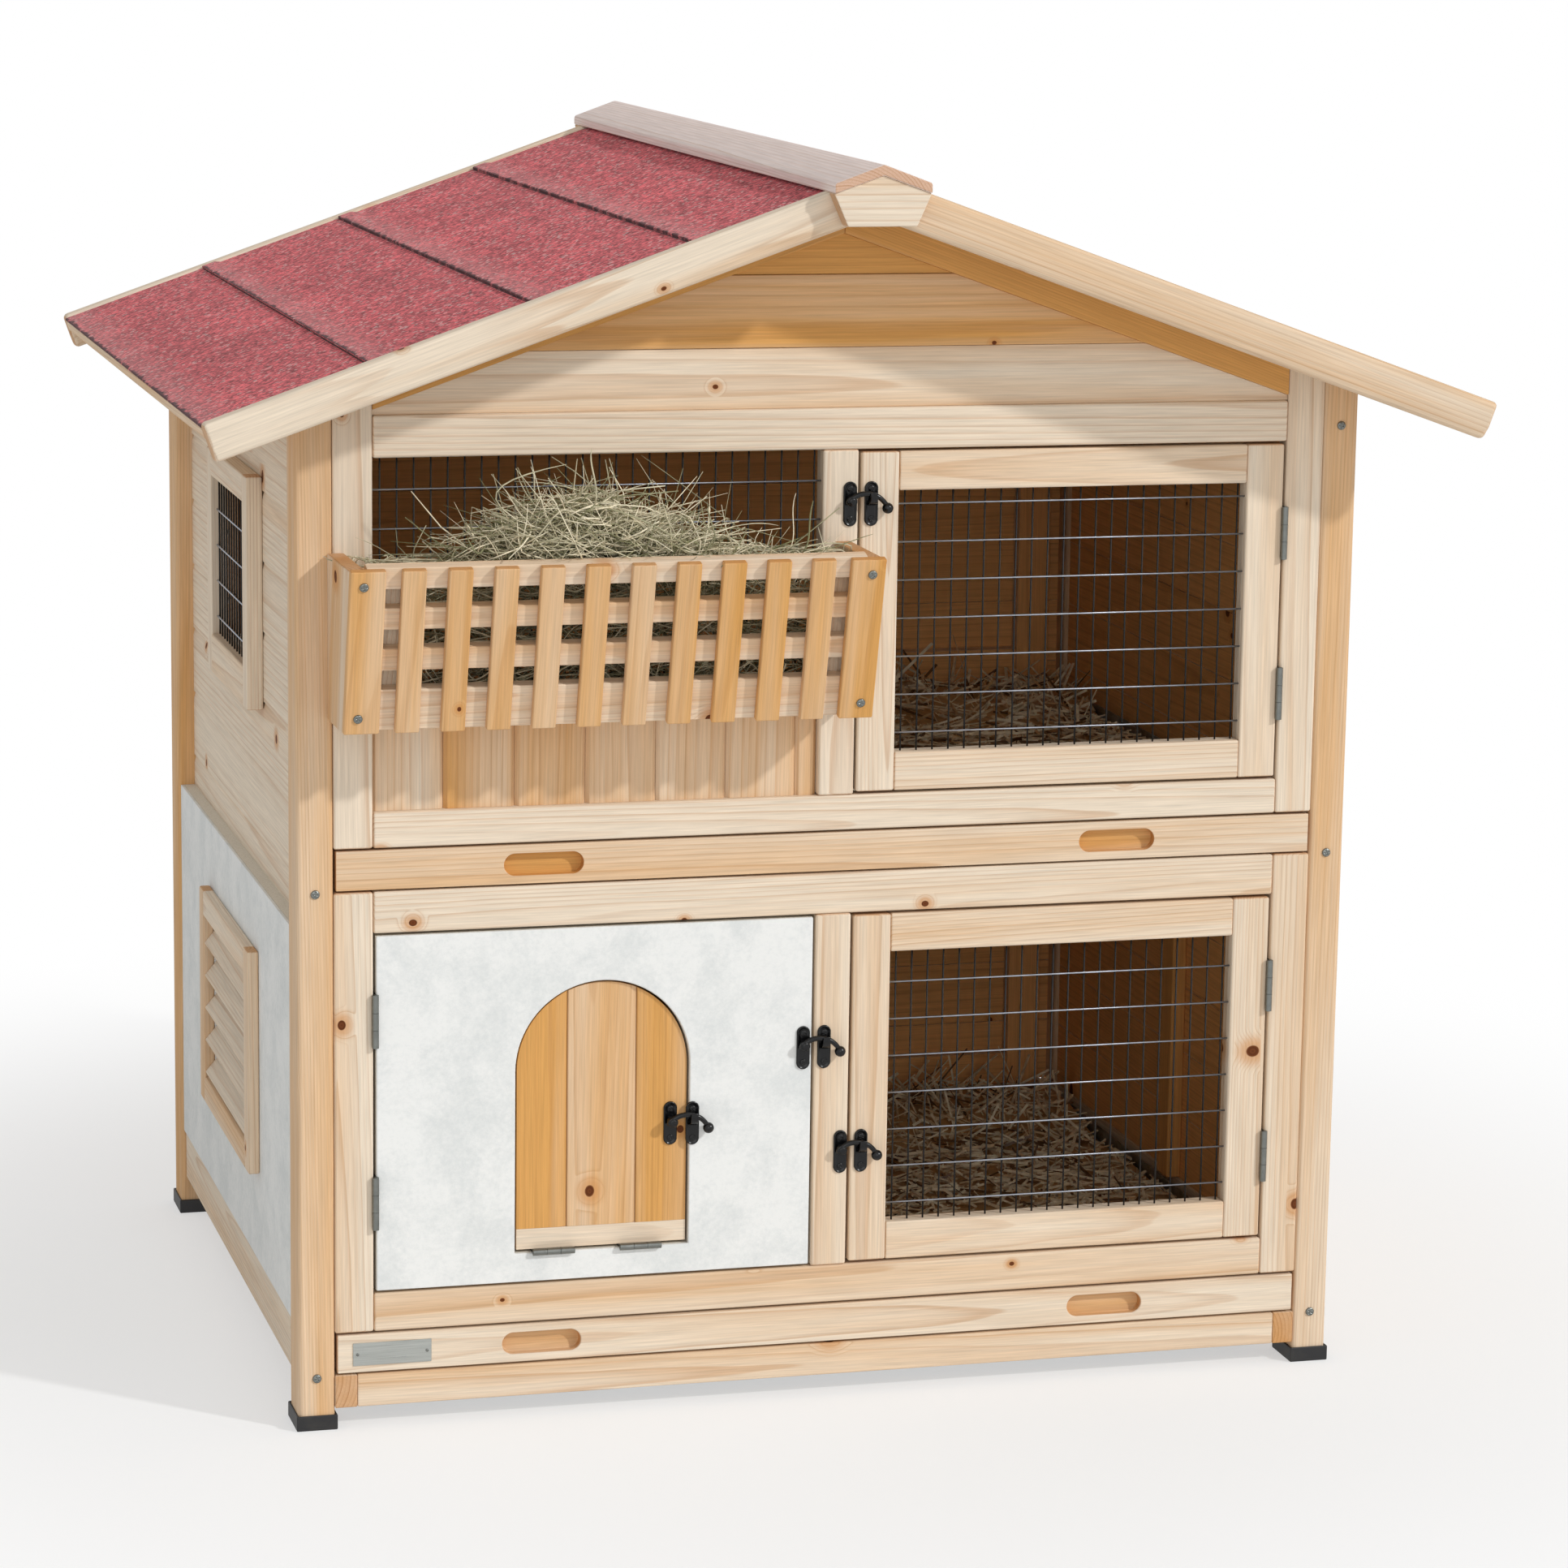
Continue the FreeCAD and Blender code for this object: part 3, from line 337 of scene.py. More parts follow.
def mineral_felt(name):
    """Bitumen roofing felt with a pressed coat of red mineral granules, drawn at 3 mm so that they
    show. The granules differ in shade, a few are pale, and a dark band along the lower edge of each
    course is partly bare bitumen and partly painted shade of the lap."""
    look = settings("roof")
    made, add, shader = material(name)
    at = add("TexCoord").outputs["Object"]
    grit = add("TexVoronoi", {"Vector": at, "Scale": 1 / look.granule})
    own, odd, _ = add("SeparateColor", {0: grit.outputs["Color"]}).outputs
    cloud = add("TexNoise", {"Vector": at, "Scale": 9.0, "Detail": 4.0, "Roughness": 0.6})
    # press marks of the roll run down the slope
    marks = add("VectorMath", {0: at, 1: (3, 120, 3)}, operation="MULTIPLY")
    marks = add("TexNoise", {"Vector": marks, "Scale": 1.0, "Detail": 2.0})
    light = add("MapRange", {0: own, 3: 0.38, 4: 1.62})
    drift = add("MapRange", {0: cloud, **SWING, 3: 0.84, 4: 1.16})
    press = add("MapRange", {0: marks, **SWING, 3: 0.94, 4: 1.06})
    for change in (drift, press):
        light = add("Math", {0: light, 1: change}, operation="MULTIPLY")
    red = add("VectorMath", {0: look.felt[:3], 1: light}, operation="MULTIPLY")
    pale = add("Math", {0: odd, 1: 0.92}, operation="GREATER_THAN")
    pale = add("Math", {0: pale, 1: 0.6}, operation="MULTIPLY")

    # how far up its course a point lies, from nought at the lower edge of the lap to one at the
    # next lap. The four courses of a slope run from its eave to 20 mm from the ridge
    half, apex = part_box("roof_felt")[1][0], 20 * MM
    far, _, _ = add("SeparateXYZ", {0: at}).outputs
    far = add("Math", {0: far}, operation="ABSOLUTE")
    up = add("MapRange", {0: far, 1: half, 2: apex, 3: 0.0, 4: 4.0}, clamp=False)
    up = add("Math", {0: up}, operation="FRACT")
    ragged = add("TexNoise", {"Vector": at, "Scale": 60.0, "Detail": 4.0, "Roughness": 0.7})
    ragged = add("MapRange", {0: ragged, **SWING, 3: -0.02, 4: 0.02})
    up = add("Math", {0: up, 1: ragged}, operation="ADD")
    dusty = add("MapRange", {0: up, 1: 0.04, 2: 0.3, 3: 0.2, 4: 0.0},
                interpolation_type="SMOOTHSTEP")
    dusty = add("Math", {0: dusty, 1: drift}, operation="MULTIPLY")
    # dark band along the lower edge of each course: partly bare bitumen, partly painted shade of
    # the lap's step
    edge = add("MapRange", {0: up, 1: 0.008, 2: 0.02, 3: 0.9, 4: 0.0})
    for share, tint in ((pale, linear("#D8BDB8")), (dusty, linear("#D3AFAC")), (edge, look.lap)):
        red = add("Mix", {0: share, 6: red, 7: tint}, data_type="RGBA")
    bump = add("Bump", {"Height": grit, "Strength": 0.8, "Distance": 0.6 * MM}, invert=True)
    wire(shader, {"Base Color": red, "Roughness": 0.92, "Normal": bump, "Specular IOR Level": 0.1,
                  "Sheen Weight": 0.06, "Sheen Roughness": 0.5})
    return made


def cement_coated_board(name):
    """Pressed board with a matt cement-look coat: pale, with soft greyer clouds 15 to 50 mm across
    and mottling of a few mm."""
    look = settings("panels")
    made, add, shader = material(name)
    at = add("TexCoord").outputs["Object"]
    clouds = add("TexNoise", {"Vector": at, "Scale": 20.0, "Detail": 9.0, "Roughness": 0.68,
                              "Distortion": 0.25})
    clouds = add("MapRange", {0: clouds, 1: 0.34, 2: 0.72}, interpolation_type="SMOOTHSTEP")
    fine = add("TexNoise", {"Vector": at, "Scale": 210.0, "Detail": 4.0, "Roughness": 0.75})
    fine = add("MapRange", {0: fine, **SWING, 3: -0.35, 4: 0.35})
    share = add("Math", {0: clouds, 1: fine}, operation="ADD", use_clamp=True)
    coat = add("Mix", {0: share, 6: look.board, 7: look.cloud}, data_type="RGBA")
    bump = add("Bump", {"Height": fine, "Strength": 0.2, "Distance": 0.3 * MM})
    wire(shader, {"Base Color": coat, "Roughness": 0.78, "Normal": bump,
                  "Specular IOR Level": 0.2})
    return made


def foam_core(name):
    """Extruded foam between the skins, seen only as a thin edge: pale, with cells of about 1 mm."""
    made, add, shader = material(name)
    at = add("TexCoord").outputs["Object"]
    cells = add("TexVoronoi", {"Vector": at, "Scale": 900.0})
    light = add("Mix", {0: cells, 6: linear("#E9E5DA"), 7: linear("#CFC8B8")},
                data_type="RGBA")
    bump = add("Bump", {"Height": cells, "Strength": 0.4, "Distance": 0.3 * MM})
    wire(shader, {"Base Color": light, "Roughness": 0.9, "Normal": bump})
    return made


def metal(name, tint, rough, spread, scale, wear=0.12):
    """A plated metal, clouded rather than mirror bright: its tint drifts by wear and its roughness
    by spread, over cells or scratches of the given scale (per metre along x, y and z)."""
    made, add, shader = material(name)
    at = add("TexCoord").outputs["Object"]
    at = add("VectorMath", {0: at, 1: scale}, operation="MULTIPLY")
    drift = add("TexNoise", {"Vector": at, "Scale": 1.0, "Detail": 4.0, "Roughness": 0.65})
    light = add("MapRange", {0: drift, **SWING, 3: 1 - wear, 4: 1 + wear / 2})
    shade = add("VectorMath", {0: tint[:3], 1: light}, operation="MULTIPLY")
    gloss = add("MapRange", {0: drift, **SWING, 3: rough - spread, 4: rough + spread})
    bump = add("Bump", {"Height": drift, "Strength": 0.15, "Distance": 0.1 * MM})
    wire(shader, {"Base Color": shade, "Metallic": 1.0, "Roughness": gloss, "Normal": bump})
    return made


def zinc_plate(name):
    """Pressed steel with bright zinc plating: grey, with a soft shine that clouds over 6 mm."""
    return metal(name, settings("metals").zinc, 0.36, 0.08, (180, 180, 180))


def dipped_wire(name):
    """Hot-dipped welded wire with uneven runs of zinc about 10 mm long. The level wires keep their
    zinc shine; the upright ones behind them are drawn dark and not metallic as painted shade, as
    the attribute "level" says."""
    look = settings("metals")
    made, add, shader = material(name)
    at = add("TexCoord").outputs["Object"]
    runs = add("TexNoise", {"Vector": at, "Scale": 110.0, "Detail": 3.0, "Roughness": 0.6})
    level = add("Attribute", attribute_name="level").outputs["Fac"]
    # upright wires take the dark tint and no metal: painted shade
    tint = add("Mix", {0: level, 6: look.painted_shade_wire, 7: look.wire}, data_type="RGBA")
    light = add("MapRange", {0: runs, **SWING, 3: 0.78, 4: 1.1})
    shade = add("VectorMath", {0: tint, 1: light}, operation="MULTIPLY")
    dull = add("MapRange", {0: level, 3: 0.55, 4: 0.42})
    wire(shader, {"Base Color": shade, "Metallic": level, "Roughness": dull,
                  "Specular IOR Level": 0.3})
    return made


def dipped_sheet(name):
    """Hot-dipped sheet: zinc spangles about 12 mm across, each with its own grey and gloss."""
    made, add, shader = material(name)
    at = add("TexCoord").outputs["Object"]
    spangle = add("TexVoronoi", {"Vector": at, "Scale": 80.0})
    tilt, polish, _ = add("SeparateColor", {0: spangle.outputs["Color"]}).outputs
    light = add("MapRange", {0: tilt, 3: 0.75, 4: 1.1})
    shade = add("VectorMath", {0: linear("#AEB3B6")[:3], 1: light}, operation="MULTIPLY")
    gloss = add("MapRange", {0: polish, 3: 0.3, 4: 0.5})
    wire(shader, {"Base Color": shade, "Metallic": 1.0, "Roughness": gloss})
    return made


def brushed_badge(name):
    """Thin metal plate brushed along its length: a dull streaky shine. The scratches are finer than
    the 0.4 mm that they are drawn at so that they show."""
    return metal(name, settings("metals").plate, 0.34, 0.08, (25, 25, 2500), 0.22)


def black_lacquer(name):
    """Cast steel with a thick gloss black lacquer, slightly wavy over the casting, so its small
    highlights break up."""
    made, add, shader = material(name)
    at = add("TexCoord").outputs["Object"]
    wave = add("TexNoise", {"Vector": at, "Scale": 350.0, "Detail": 2.0})
    light = add("MapRange", {0: wave, 3: 0.8, 4: 1.3})
    shade = add("VectorMath", {0: settings("metals").lacquer[:3], 1: light}, operation="MULTIPLY")
    bump = add("Bump", {"Height": wave, "Strength": 0.12, "Distance": 0.3 * MM})
    wire(shader, {"Base Color": shade, "Roughness": 0.25, "Normal": bump,
                  "Specular IOR Level": 0.36})
    return made


def moulded_plastic(name):
    """Injection-moulded plastic with a fine spark-eroded grain: satin black, dusty in places. The
    grain is drawn at 1 mm so that it shows."""
    made, add, shader = material(name)
    at = add("TexCoord").outputs["Object"]
    grit = add("TexNoise", {"Vector": at, "Scale": 900.0, "Detail": 2.0})
    dust = add("TexNoise", {"Vector": at, "Scale": 45.0, "Detail": 4.0})
    dust = add("MapRange", {0: dust, 1: 0.45, 2: 0.8, 3: 0.0, 4: 0.25})
    shade = add("Mix", {0: dust, 6: settings("metals").cap, 7: linear("#5B564C")}, data_type="RGBA")
    bump = add("Bump", {"Height": grit, "Strength": 0.3, "Distance": 0.2 * MM})
    wire(shader, {"Base Color": shade, "Roughness": 0.55, "Normal": bump})
    return made


def dry_stalks(name, dark, light, brown=None, rough=0.6, shine=0.2):
    """Dried grass or straw: each stalk has its own shade, held in the attribute "shade", from dark
    to light, with paler and darker stretches about 8 mm long. A few stalks are brown throughout, if
    a brown is given."""
    made, add, shader = material(name)
    shade = add("Attribute", attribute_name="shade").outputs["Vector"]
    own, odd, _ = add("SeparateXYZ", {0: shade}).outputs
    tint = add("Mix", {0: own, 6: dark, 7: light}, data_type="RGBA")
    if brown:
        old = add("Math", {0: odd, 1: 0.8}, operation="GREATER_THAN")
        tint = add("Mix", {0: old, 6: tint, 7: brown}, data_type="RGBA")
    at = add("TexCoord").outputs["Object"]
    mottle = add("TexNoise", {"Vector": at, "Scale": 120.0, "Detail": 2.0})
    mottle = add("MapRange", {0: mottle, 1: 0.25, 2: 0.75, 3: 0.7, 4: 1.2})
    tint = add("VectorMath", {0: tint, 1: mottle}, operation="MULTIPLY")
    wire(shader, {"Base Color": tint, "Roughness": rough, "Specular IOR Level": shine})
    return made


# ---------------------------------------------------------------- mesh helpers

def seeded(name):
    """A random source that gives the same numbers for the same name."""
    return np.random.default_rng(zlib.crc32(name.encode()))


def read(items, field, width=1, kind=float):
    """One field of all the items of a mesh, as an array with a row for each item where the field is
    a vector."""
    values = np.empty(len(items) * width, kind)
    items.foreach_get(field, values)
    return values if width == 1 else values.reshape(-1, width)


def attribute(mesh, name, values, domain="POINT"):
    """Stores numbers, or triples of them, on the mesh's points or on its faces' corners."""
    kind, field = ("FLOAT", "value") if values.ndim == 1 else ("FLOAT_VECTOR", "vector")
    mesh.attributes.new(name, kind, domain).data.foreach_set(field, values.ravel())


def unit(vectors):
    """The vectors, each brought to length one."""
    return vectors / np.linalg.norm(vectors, axis=-1, keepdims=True)


def cubic(nodes, t):
    """Points at t along curves given by four points each (curves, 4, axes): the four, weighted by
    (1 - t) cubed, 3 (1 - t) squared t, 3 (1 - t) t squared, and t cubed."""
    weights = np.stack([(1 - t) ** 3, 3 * (1 - t) ** 2 * t, 3 * (1 - t) * t ** 2, t ** 3])
    return np.einsum("ks,nkc->nsc", weights, nodes)


def piece(name, mesh, body, finish, replaces=()):
    """Puts a finished mesh in the scene, on its body."""
    obj = bpy.data.objects.new(name, mesh)
    bpy.context.scene.collection.objects.link(obj)
    mesh.materials.clear()
    mesh.materials.append(finish)
    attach(obj, body)
    if replaces:
        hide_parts(*replaces)
    return obj


def surface(name, points, faces, smooth=True):
    """A mesh from whole arrays of points and faces."""
    mesh = bpy.data.meshes.new(name)
    mesh.from_pydata(np.asarray(points).tolist(), [], np.asarray(faces).tolist())
    mesh.polygons.foreach_set("use_smooth", np.full(len(mesh.polygons), smooth))
    mesh.update()
    return mesh


def join(*parts):
    """One pair of arrays out of several pairs of points and triangles."""
    starts = np.cumsum([0] + [len(p) for p, _ in parts[:-1]])
    return (np.concatenate([p for p, _ in parts]),
            np.concatenate([f + s for (_, f), s in zip(parts, starts)]))


def squares(columns, rows):
    """The four corners of each square in a grid of points that are numbered row by row within a
    column."""
    at = (np.arange(columns - 1)[:, None] * rows + np.arange(rows - 1)[None, :]).ravel()
    return np.stack([at, at + rows, at + rows + 1, at + 1], -1)


def circle(sides):
    """The cosine and sine of equal steps round a circle, as two columns."""
    angle = np.arange(sides) * 2 * np.pi / sides
    return np.cos(angle)[:, None], np.sin(angle)[:, None]


def ring_walls(count, sides):
    """The triangles between a row of rings with the same number of points: two for each step along
    the row and round the ring."""
    at = np.arange(count - 1)[:, None] * sides
    near = np.arange(sides)[None, :]
    far = (near + 1) % sides
    a, b, c, d = at + near, at + far, at + sides + far, at + sides + near
    return np.stack([np.stack([a, b, c], -1), np.stack([a, c, d], -1)]).reshape(-1, 3)


def skin(rings, ends=None):
    """Closed surface through a row of rings, as triangles, with a fan over each end ring to its own
    point, or to the ring's middle."""
    count, sides = rings.shape[:2]
    if ends is None:
        ends = np.stack([rings[0].mean(axis=0), rings[-1].mean(axis=0)])
    near = np.arange(sides)
    far = (near + 1) % sides
    low, last = count * sides, (count - 1) * sides
    first = np.stack([np.full(sides, low), far, near], -1)
    top = np.stack([np.full(sides, low + 1), last + near, last + far], -1)
    return (np.concatenate([rings.reshape(-1, 3), ends]),
            np.concatenate([ring_walls(count, sides), first, top]))


def tubes(paths, radius, sides=3):
    """Closed tubes along many paths at once. A ring's point is the path's point plus the radius
    times the cosine and sine of its angle along two directions square to the path. Paths are
    (tubes, stations, 3), and radius is one number or (tubes, stations)."""
    count, stations = paths.shape[:2]
    ahead = unit(np.gradient(paths, axis=1))
    mean = np.abs(paths[:, -1] - paths[:, 0])
    guide = np.eye(3)[mean.argmin(axis=1)][:, None, :]
    side = unit(np.cross(ahead, guide))
    over = np.cross(ahead, side)
    cosine, sine = circle(sides)
    reach = np.broadcast_to(radius, (count, stations))[..., None, None]
    spoke = cosine * side[:, :, None, :] + sine * over[:, :, None, :]
    ring = paths[:, :, None, :] + reach * spoke
    fan = np.arange(1, sides - 1)
    first = np.stack([np.zeros_like(fan), fan + 1, fan], -1)
    last = np.stack([np.zeros_like(fan), fan, fan + 1], -1) + (stations - 1) * sides
    one = np.concatenate([ring_walls(stations, sides), first, last])
    faces = one[None] + (np.arange(count) * stations * sides)[:, None, None]
    return ring.reshape(-1, 3), faces.reshape(-1, 3)


def turned(profile, sides, centre, axis=(0, -1, 0)):
    """A turned solid: each pair of radius and height in the profile becomes a ring about the axis
    through centre, and the first and last rings are closed by fans to a point."""
    axis = np.array(axis, float)
    side = unit(np.cross(axis, np.eye(3)[np.abs(axis).argmin()]))
    over = np.cross(axis, side)
    cosine, sine = circle(sides)
    spoke = cosine * side + sine * over
    profile = np.array(profile, float)
    rings = profile[:, 0, None, None] * spoke + profile[:, 1, None, None] * axis + np.array(centre)
    return skin(rings, profile[[0, -1], 1, None] * axis + np.array(centre))


def split_solids(node):
    """The points and triangles of a CAD node with its doubles merged, and one number per triangle
    for its solid.

    The directed edges of a closed solid cancel in pairs, so the running sum of a random number for
    each edge, taken with its direction, comes back to nought only where a solid ends."""
    mesh = frame["nodes"][node].data
    points = read(mesh.vertices, "co", 3)
    loops = read(mesh.loops, "vertex_index", kind=np.int32)
    weld = 1e-3 * MM
    cells = np.round(points / weld).astype(np.int64)
    _, first, same = np.unique(cells, axis=0, return_index=True, return_inverse=True)
    points = points[first]
    triangles = same.ravel()[loops].reshape(-1, 3).astype(np.int64)
    nexts = np.roll(triangles, -1, axis=1)
    key = np.minimum(triangles, nexts) * len(points) + np.maximum(triangles, nexts)
    _, edge = np.unique(key, return_inverse=True)
    tag = np.random.default_rng(7).integers(1, 2 ** 40, edge.max() + 1)[edge.reshape(key.shape)]
    total = np.where(triangles < nexts, tag, -tag).sum(axis=1).cumsum()
    solid = np.concatenate([[0], np.cumsum(total == 0)[:-1]])
    if total[-1] != 0:
        raise RuntimeError("node " + node + " isn't a set of closed solids")
    pair = (solid[:, None] * len(points) + triangles).ravel()
    kept, new = np.unique(pair, return_inverse=True)
    return points[kept % len(points)], new.reshape(-1, 3), solid


def eased(node, width, segments=2):
    """The node's solids as one mesh with rounded edges, as a planer or a sander leaves them:
    triangles within 0.01 radian of one plane are made one face, and a bevel of the given width
    rounds each edge sharper than 35 degrees."""
    points, triangles, _ = split_solids(node)
    mesh = surface(node + "_work", points, triangles)
    work = bmesh.new()
    work.from_mesh(mesh)
    bmesh.ops.dissolve_limit(work, angle_limit=0.01, verts=work.verts[:], edges=work.edges[:])
    work.to_mesh(mesh)
    work.free()
    holder = bpy.data.objects.new(node + "_work", mesh)
    bpy.context.scene.collection.objects.link(holder)
    bevel = holder.modifiers.new("edges", "BEVEL")
    bevel.width = width
    bevel.segments = segments
    bevel.limit_method = "ANGLE"
    bevel.angle_limit = math.radians(35)
    bevel.harden_normals = True
    finished = holder.evaluated_get(bpy.context.evaluated_depsgraph_get())
    made = bpy.data.meshes.new_from_object(finished)
    bpy.data.objects.remove(holder)
    bpy.data.meshes.remove(mesh)
    return made


def connected(mesh):
    """One number per vertex, the same for all the vertices that edges join: each vertex takes the
    lowest number among its neighbours until none changes."""
    a, b = read(mesh.edges, "vertices", 2, np.int32).T
    label = np.arange(len(mesh.vertices))
    while True:
        low = np.minimum(label[a], label[b])
        new = label.copy()
        np.minimum.at(new, a, low)
        np.minimum.at(new, b, low)
        new = new[new]
        if (new == label).all():
            return np.unique(label, return_inverse=True)[1]
        label = new


def grain(mesh, name, tone, leaning=False, rings=1.0, inside=None):
    """Gives each board its place in a log. Its grain runs along its longest side, or along the
    longest axis of its points where it leans. The middle of the log lies off the board by a chance
    distance and slants a little, so the faces cut the rings in lines, arches or quarter circles,
    and no two boards match. tone is a range of heartwood shares, or a list of them in order along
    the row that the boards stand in. Faces that look along inside take a tone past one, which is
    painted warm bounce light for the inside of the cages, and the sunk wood of a routed pull takes
    a higher tone, which is painted shade in the recess."""
    chance = seeded(name)
    points = read(mesh.vertices, "co", 3)
    solid = connected(mesh)
    count = solid.max() + 1
    low = np.full((count, 3), np.inf)
    high = -low
    np.minimum.at(low, solid, points)
    np.maximum.at(high, solid, points)
    middle, size = (low + high) / 2, high - low
    off = points - middle[solid]
    axes = np.eye(3)[np.argsort(-size, axis=1)]
    if leaning:
        spread = np.zeros((count, 3, 3))
        np.add.at(spread, solid, off[:, :, None] * off[:, None, :])
        axes = np.linalg.eigh(spread)[1][:, :, ::-1].transpose(0, 2, 1)
    place = np.einsum("nij,nj->ni", axes[solid], off)
    half = np.abs(np.einsum("nij,nj->ni", axes, size)) / 2
    # where the middle of the log lies, how it slants, and how far up the log the board was cut
    away = half[:, 2] + chance.uniform(8 * MM, 60 * MM, count)
    pith = np.stack([half[:, 1] * chance.uniform(-1.5, 1.5, count),
                     away * chance.choice([-1, 1], count)], -1)
    tilt = chance.normal(0, [0.006, 0.009], (count, 2))
    shift = chance.uniform(0, 30, count)
    place[:, 1:] = place[:, 1:] + pith[solid] + tilt[solid] * place[:, :1]
    place[:, 0] += shift[solid]
    attribute(mesh, "grain", place)

    width = settings("pine").ring * chance.uniform(0.7, 1.35, count) * rings
    if isinstance(tone, list):
        row = middle[:, np.ptp(middle, axis=0).argmax()].argsort().argsort()
        shade = np.interp(row / max(count - 1, 1), np.linspace(0, 1, len(tone)), tone)
    else:
        shade = chance.uniform(tone[0], tone[1], count)
    starts = read(mesh.polygons, "loop_start", kind=np.int32)
    totals = read(mesh.polygons, "loop_total", kind=np.int32)
    loops = read(mesh.loops, "vertex_index", kind=np.int32)
    face = np.repeat(np.arange(len(totals)), totals)
    normal = read(mesh.polygons, "normal", 3)[face]
    owner = solid[loops]
    # a face counts as sawn end grain by how squarely it looks along the grain
    facing = np.abs((normal * axes[owner, 0]).sum(axis=1))
    end = np.clip((facing - 0.5) / 0.35, 0, 1)
    painted_light_tone = np.zeros(len(owner))
    # painted warm bounce light: faces that look inside take a tone past one
    if inside:
        painted_light_tone += (normal @ np.array(inside) > 0.6) * 1.4
    if name.endswith("tray_front"):
        # a routed pull lies 3 mm or more under every outer face of its board, and its wood takes a
        # higher tone as painted shade in the recess
        mid = (np.add.reduceat(points[loops], starts, axis=0) / totals[:, None])[face]
        depth = np.minimum(mid - low[owner], high[owner] - mid).min(axis=1)
        painted_light_tone += (depth > 3 * MM) * 0.6
    attribute(mesh, "cut", np.stack([shade[owner] + painted_light_tone, width[owner], end], -1), "CORNER")
    return mesh


def body_of(node):
    """The moving body that a CAD node belongs to."""
    for body, nodes in frame["record"]["behaviour"]["bodies"].items():
        if node in nodes:
            return body
    raise RuntimeError("no body holds " + node)


def stand_in(node, mesh, finish, ending="_finished"):
    """A mesh that takes a CAD node's place, on its body and with its slot."""
    return piece(node + ending, mesh, body_of(node), finish, (node,))


def timber(node, width, tone, leaning=False, segments=2, rings=1.0, inside=None):
    """One node of wooden pieces, with eased edges and its own grain."""
    mesh = grain(eased(node, width, segments), node, tone, leaning, rings, inside)
    return stand_in(node, mesh, known("planed_pine", planed_pine), "_wood")


def solid_copy(node, width, finish):
    """One node of pieces that aren't wood, with eased edges."""
    return stand_in(node, eased(node, width), finish)


def refinish(node, finish):
    """A better material on a CAD node whose shape is right."""
    for place in frame["nodes"][node].material_slots:
        place.material = finish


def paint_stalks(mesh, shades, per_stalk, bed=0):
    """The same pair of shade numbers on every point of a stalk, after those of a bed, if there is
    one, which takes the darkest shade as painted shade between the stalks."""
    both = np.concatenate([shades, np.zeros((len(shades), 1))], axis=1)
    # painted shade: the bed under the stalks takes the darkest shade
    below = np.tile([0.0, 0.2, 0], (bed, 1))
    attribute(mesh, "shade", np.concatenate([below, np.repeat(both, per_stalk, axis=0)]))


# ---------------------------------------------------------------- pieces

class HUTCH_OT_frame_timber(bpy.types.Operator):
    """Posts, base rails, tray bearers and front and back frames"""
    bl_idname = "hutch.frame_timber"
    bl_label = "Frame timber"

    def execute(self, context):
        timber("corner_posts", 4.5 * MM, [0.6, 0.6, 0.46, 0.46], segments=3, rings=0.8)
        timber("base_rails", 1.5 * MM, (0.1, 0.35))
        timber("tray_bearers", 1.2 * MM, (0.3, 0.6))
        timber("lower_front_frame", 2.5 * MM, (0.05, 0.3), segments=3)
        timber("upper_front_frame", 2.5 * MM, (-0.3, 0.0), segments=3)
        # faces that look inside, and the inner batten and the divider, take tones past one: painted
        # warm bounce light in the cages
        timber("back_frame", 2 * MM, (0.3, 0.5), inside=(0, -1, 0))
        timber("wall_batten", 2 * MM, (0.9, 1.2))
        timber("divider_panel", 1.2 * MM, (0.9, 1.3))
        return {"FINISHED"}


class HUTCH_OT_boards(bpy.types.Operator):
    """Tongue and groove boards of the gable, the walls and the apron"""
    bl_idname = "hutch.boards"
    bl_label = "Boards"

    def execute(self, context):
        # the upper gable boards take deeper heartwood tones as painted shade under the roof's
        # overhang
        timber("gable_boards", 0.7 * MM, [0.12, 0.8, 1.05], rings=1.2)
        timber("apron_boards", 0.7 * MM, [0.3, 0.75, 0.5, 0.65, 0.25, 0.5, 0.75], rings=1.2)
        # the left wall takes the palest tones, partly the boards' own colour and partly painted
        # light for this side in shade
        timber("left_wall_boards", 0.7 * MM, (-0.45, 0.0), rings=1.6, inside=(1, 0, 0))
        timber("right_wall_boards", 0.7 * MM, (0.2, 0.45), rings=1.2, inside=(-1, 0, 0))
        timber("back_wall_boards", 0.7 * MM, (0.2, 0.45), rings=1.2, inside=(0, -1, 0))
        return {"FINISHED"}


class HUTCH_OT_roof_timber(bpy.types.Operator):
    """Roof panels, battens, bargeboards, ridge cap and ridge blocks"""
    bl_idname = "hutch.roof_timber"
    bl_label = "Roof timber"

    def execute(self, context):
        timber("roof_panels", 0.8 * MM, (0.1, 0.3))
        # the battens take the darkest tones as painted shade under the roof's overhang
        timber("roof_battens", 1.2 * MM, (0.95, 1.1), leaning=True)
        timber("front_bargeboards", 4 * MM, [0.05, 0.25], leaning=True, segments=4)
        timber("back_bargeboards", 5 * MM, (0.0, 0.2), leaning=True, segments=4)
        # a tone below minus one mixes in the pale pinkish white: a painted sky reflection on the
        # cap
        timber("ridge_cap", 1.5 * MM, (-2.0, -1.8))
        timber("ridge_blocks", 1.2 * MM, (0.0, 0.2))
        return {"FINISHED"}


class HUTCH_OT_felt(bpy.types.Operator):
    """Roofing felt in lapped courses"""
    bl_idname = "hutch.felt"
    bl_label = "Felt"

    def execute(self, context):
        solid_copy("roof_felt", 0.8 * MM, known("mineral_felt", mineral_felt))
        return {"FINISHED"}


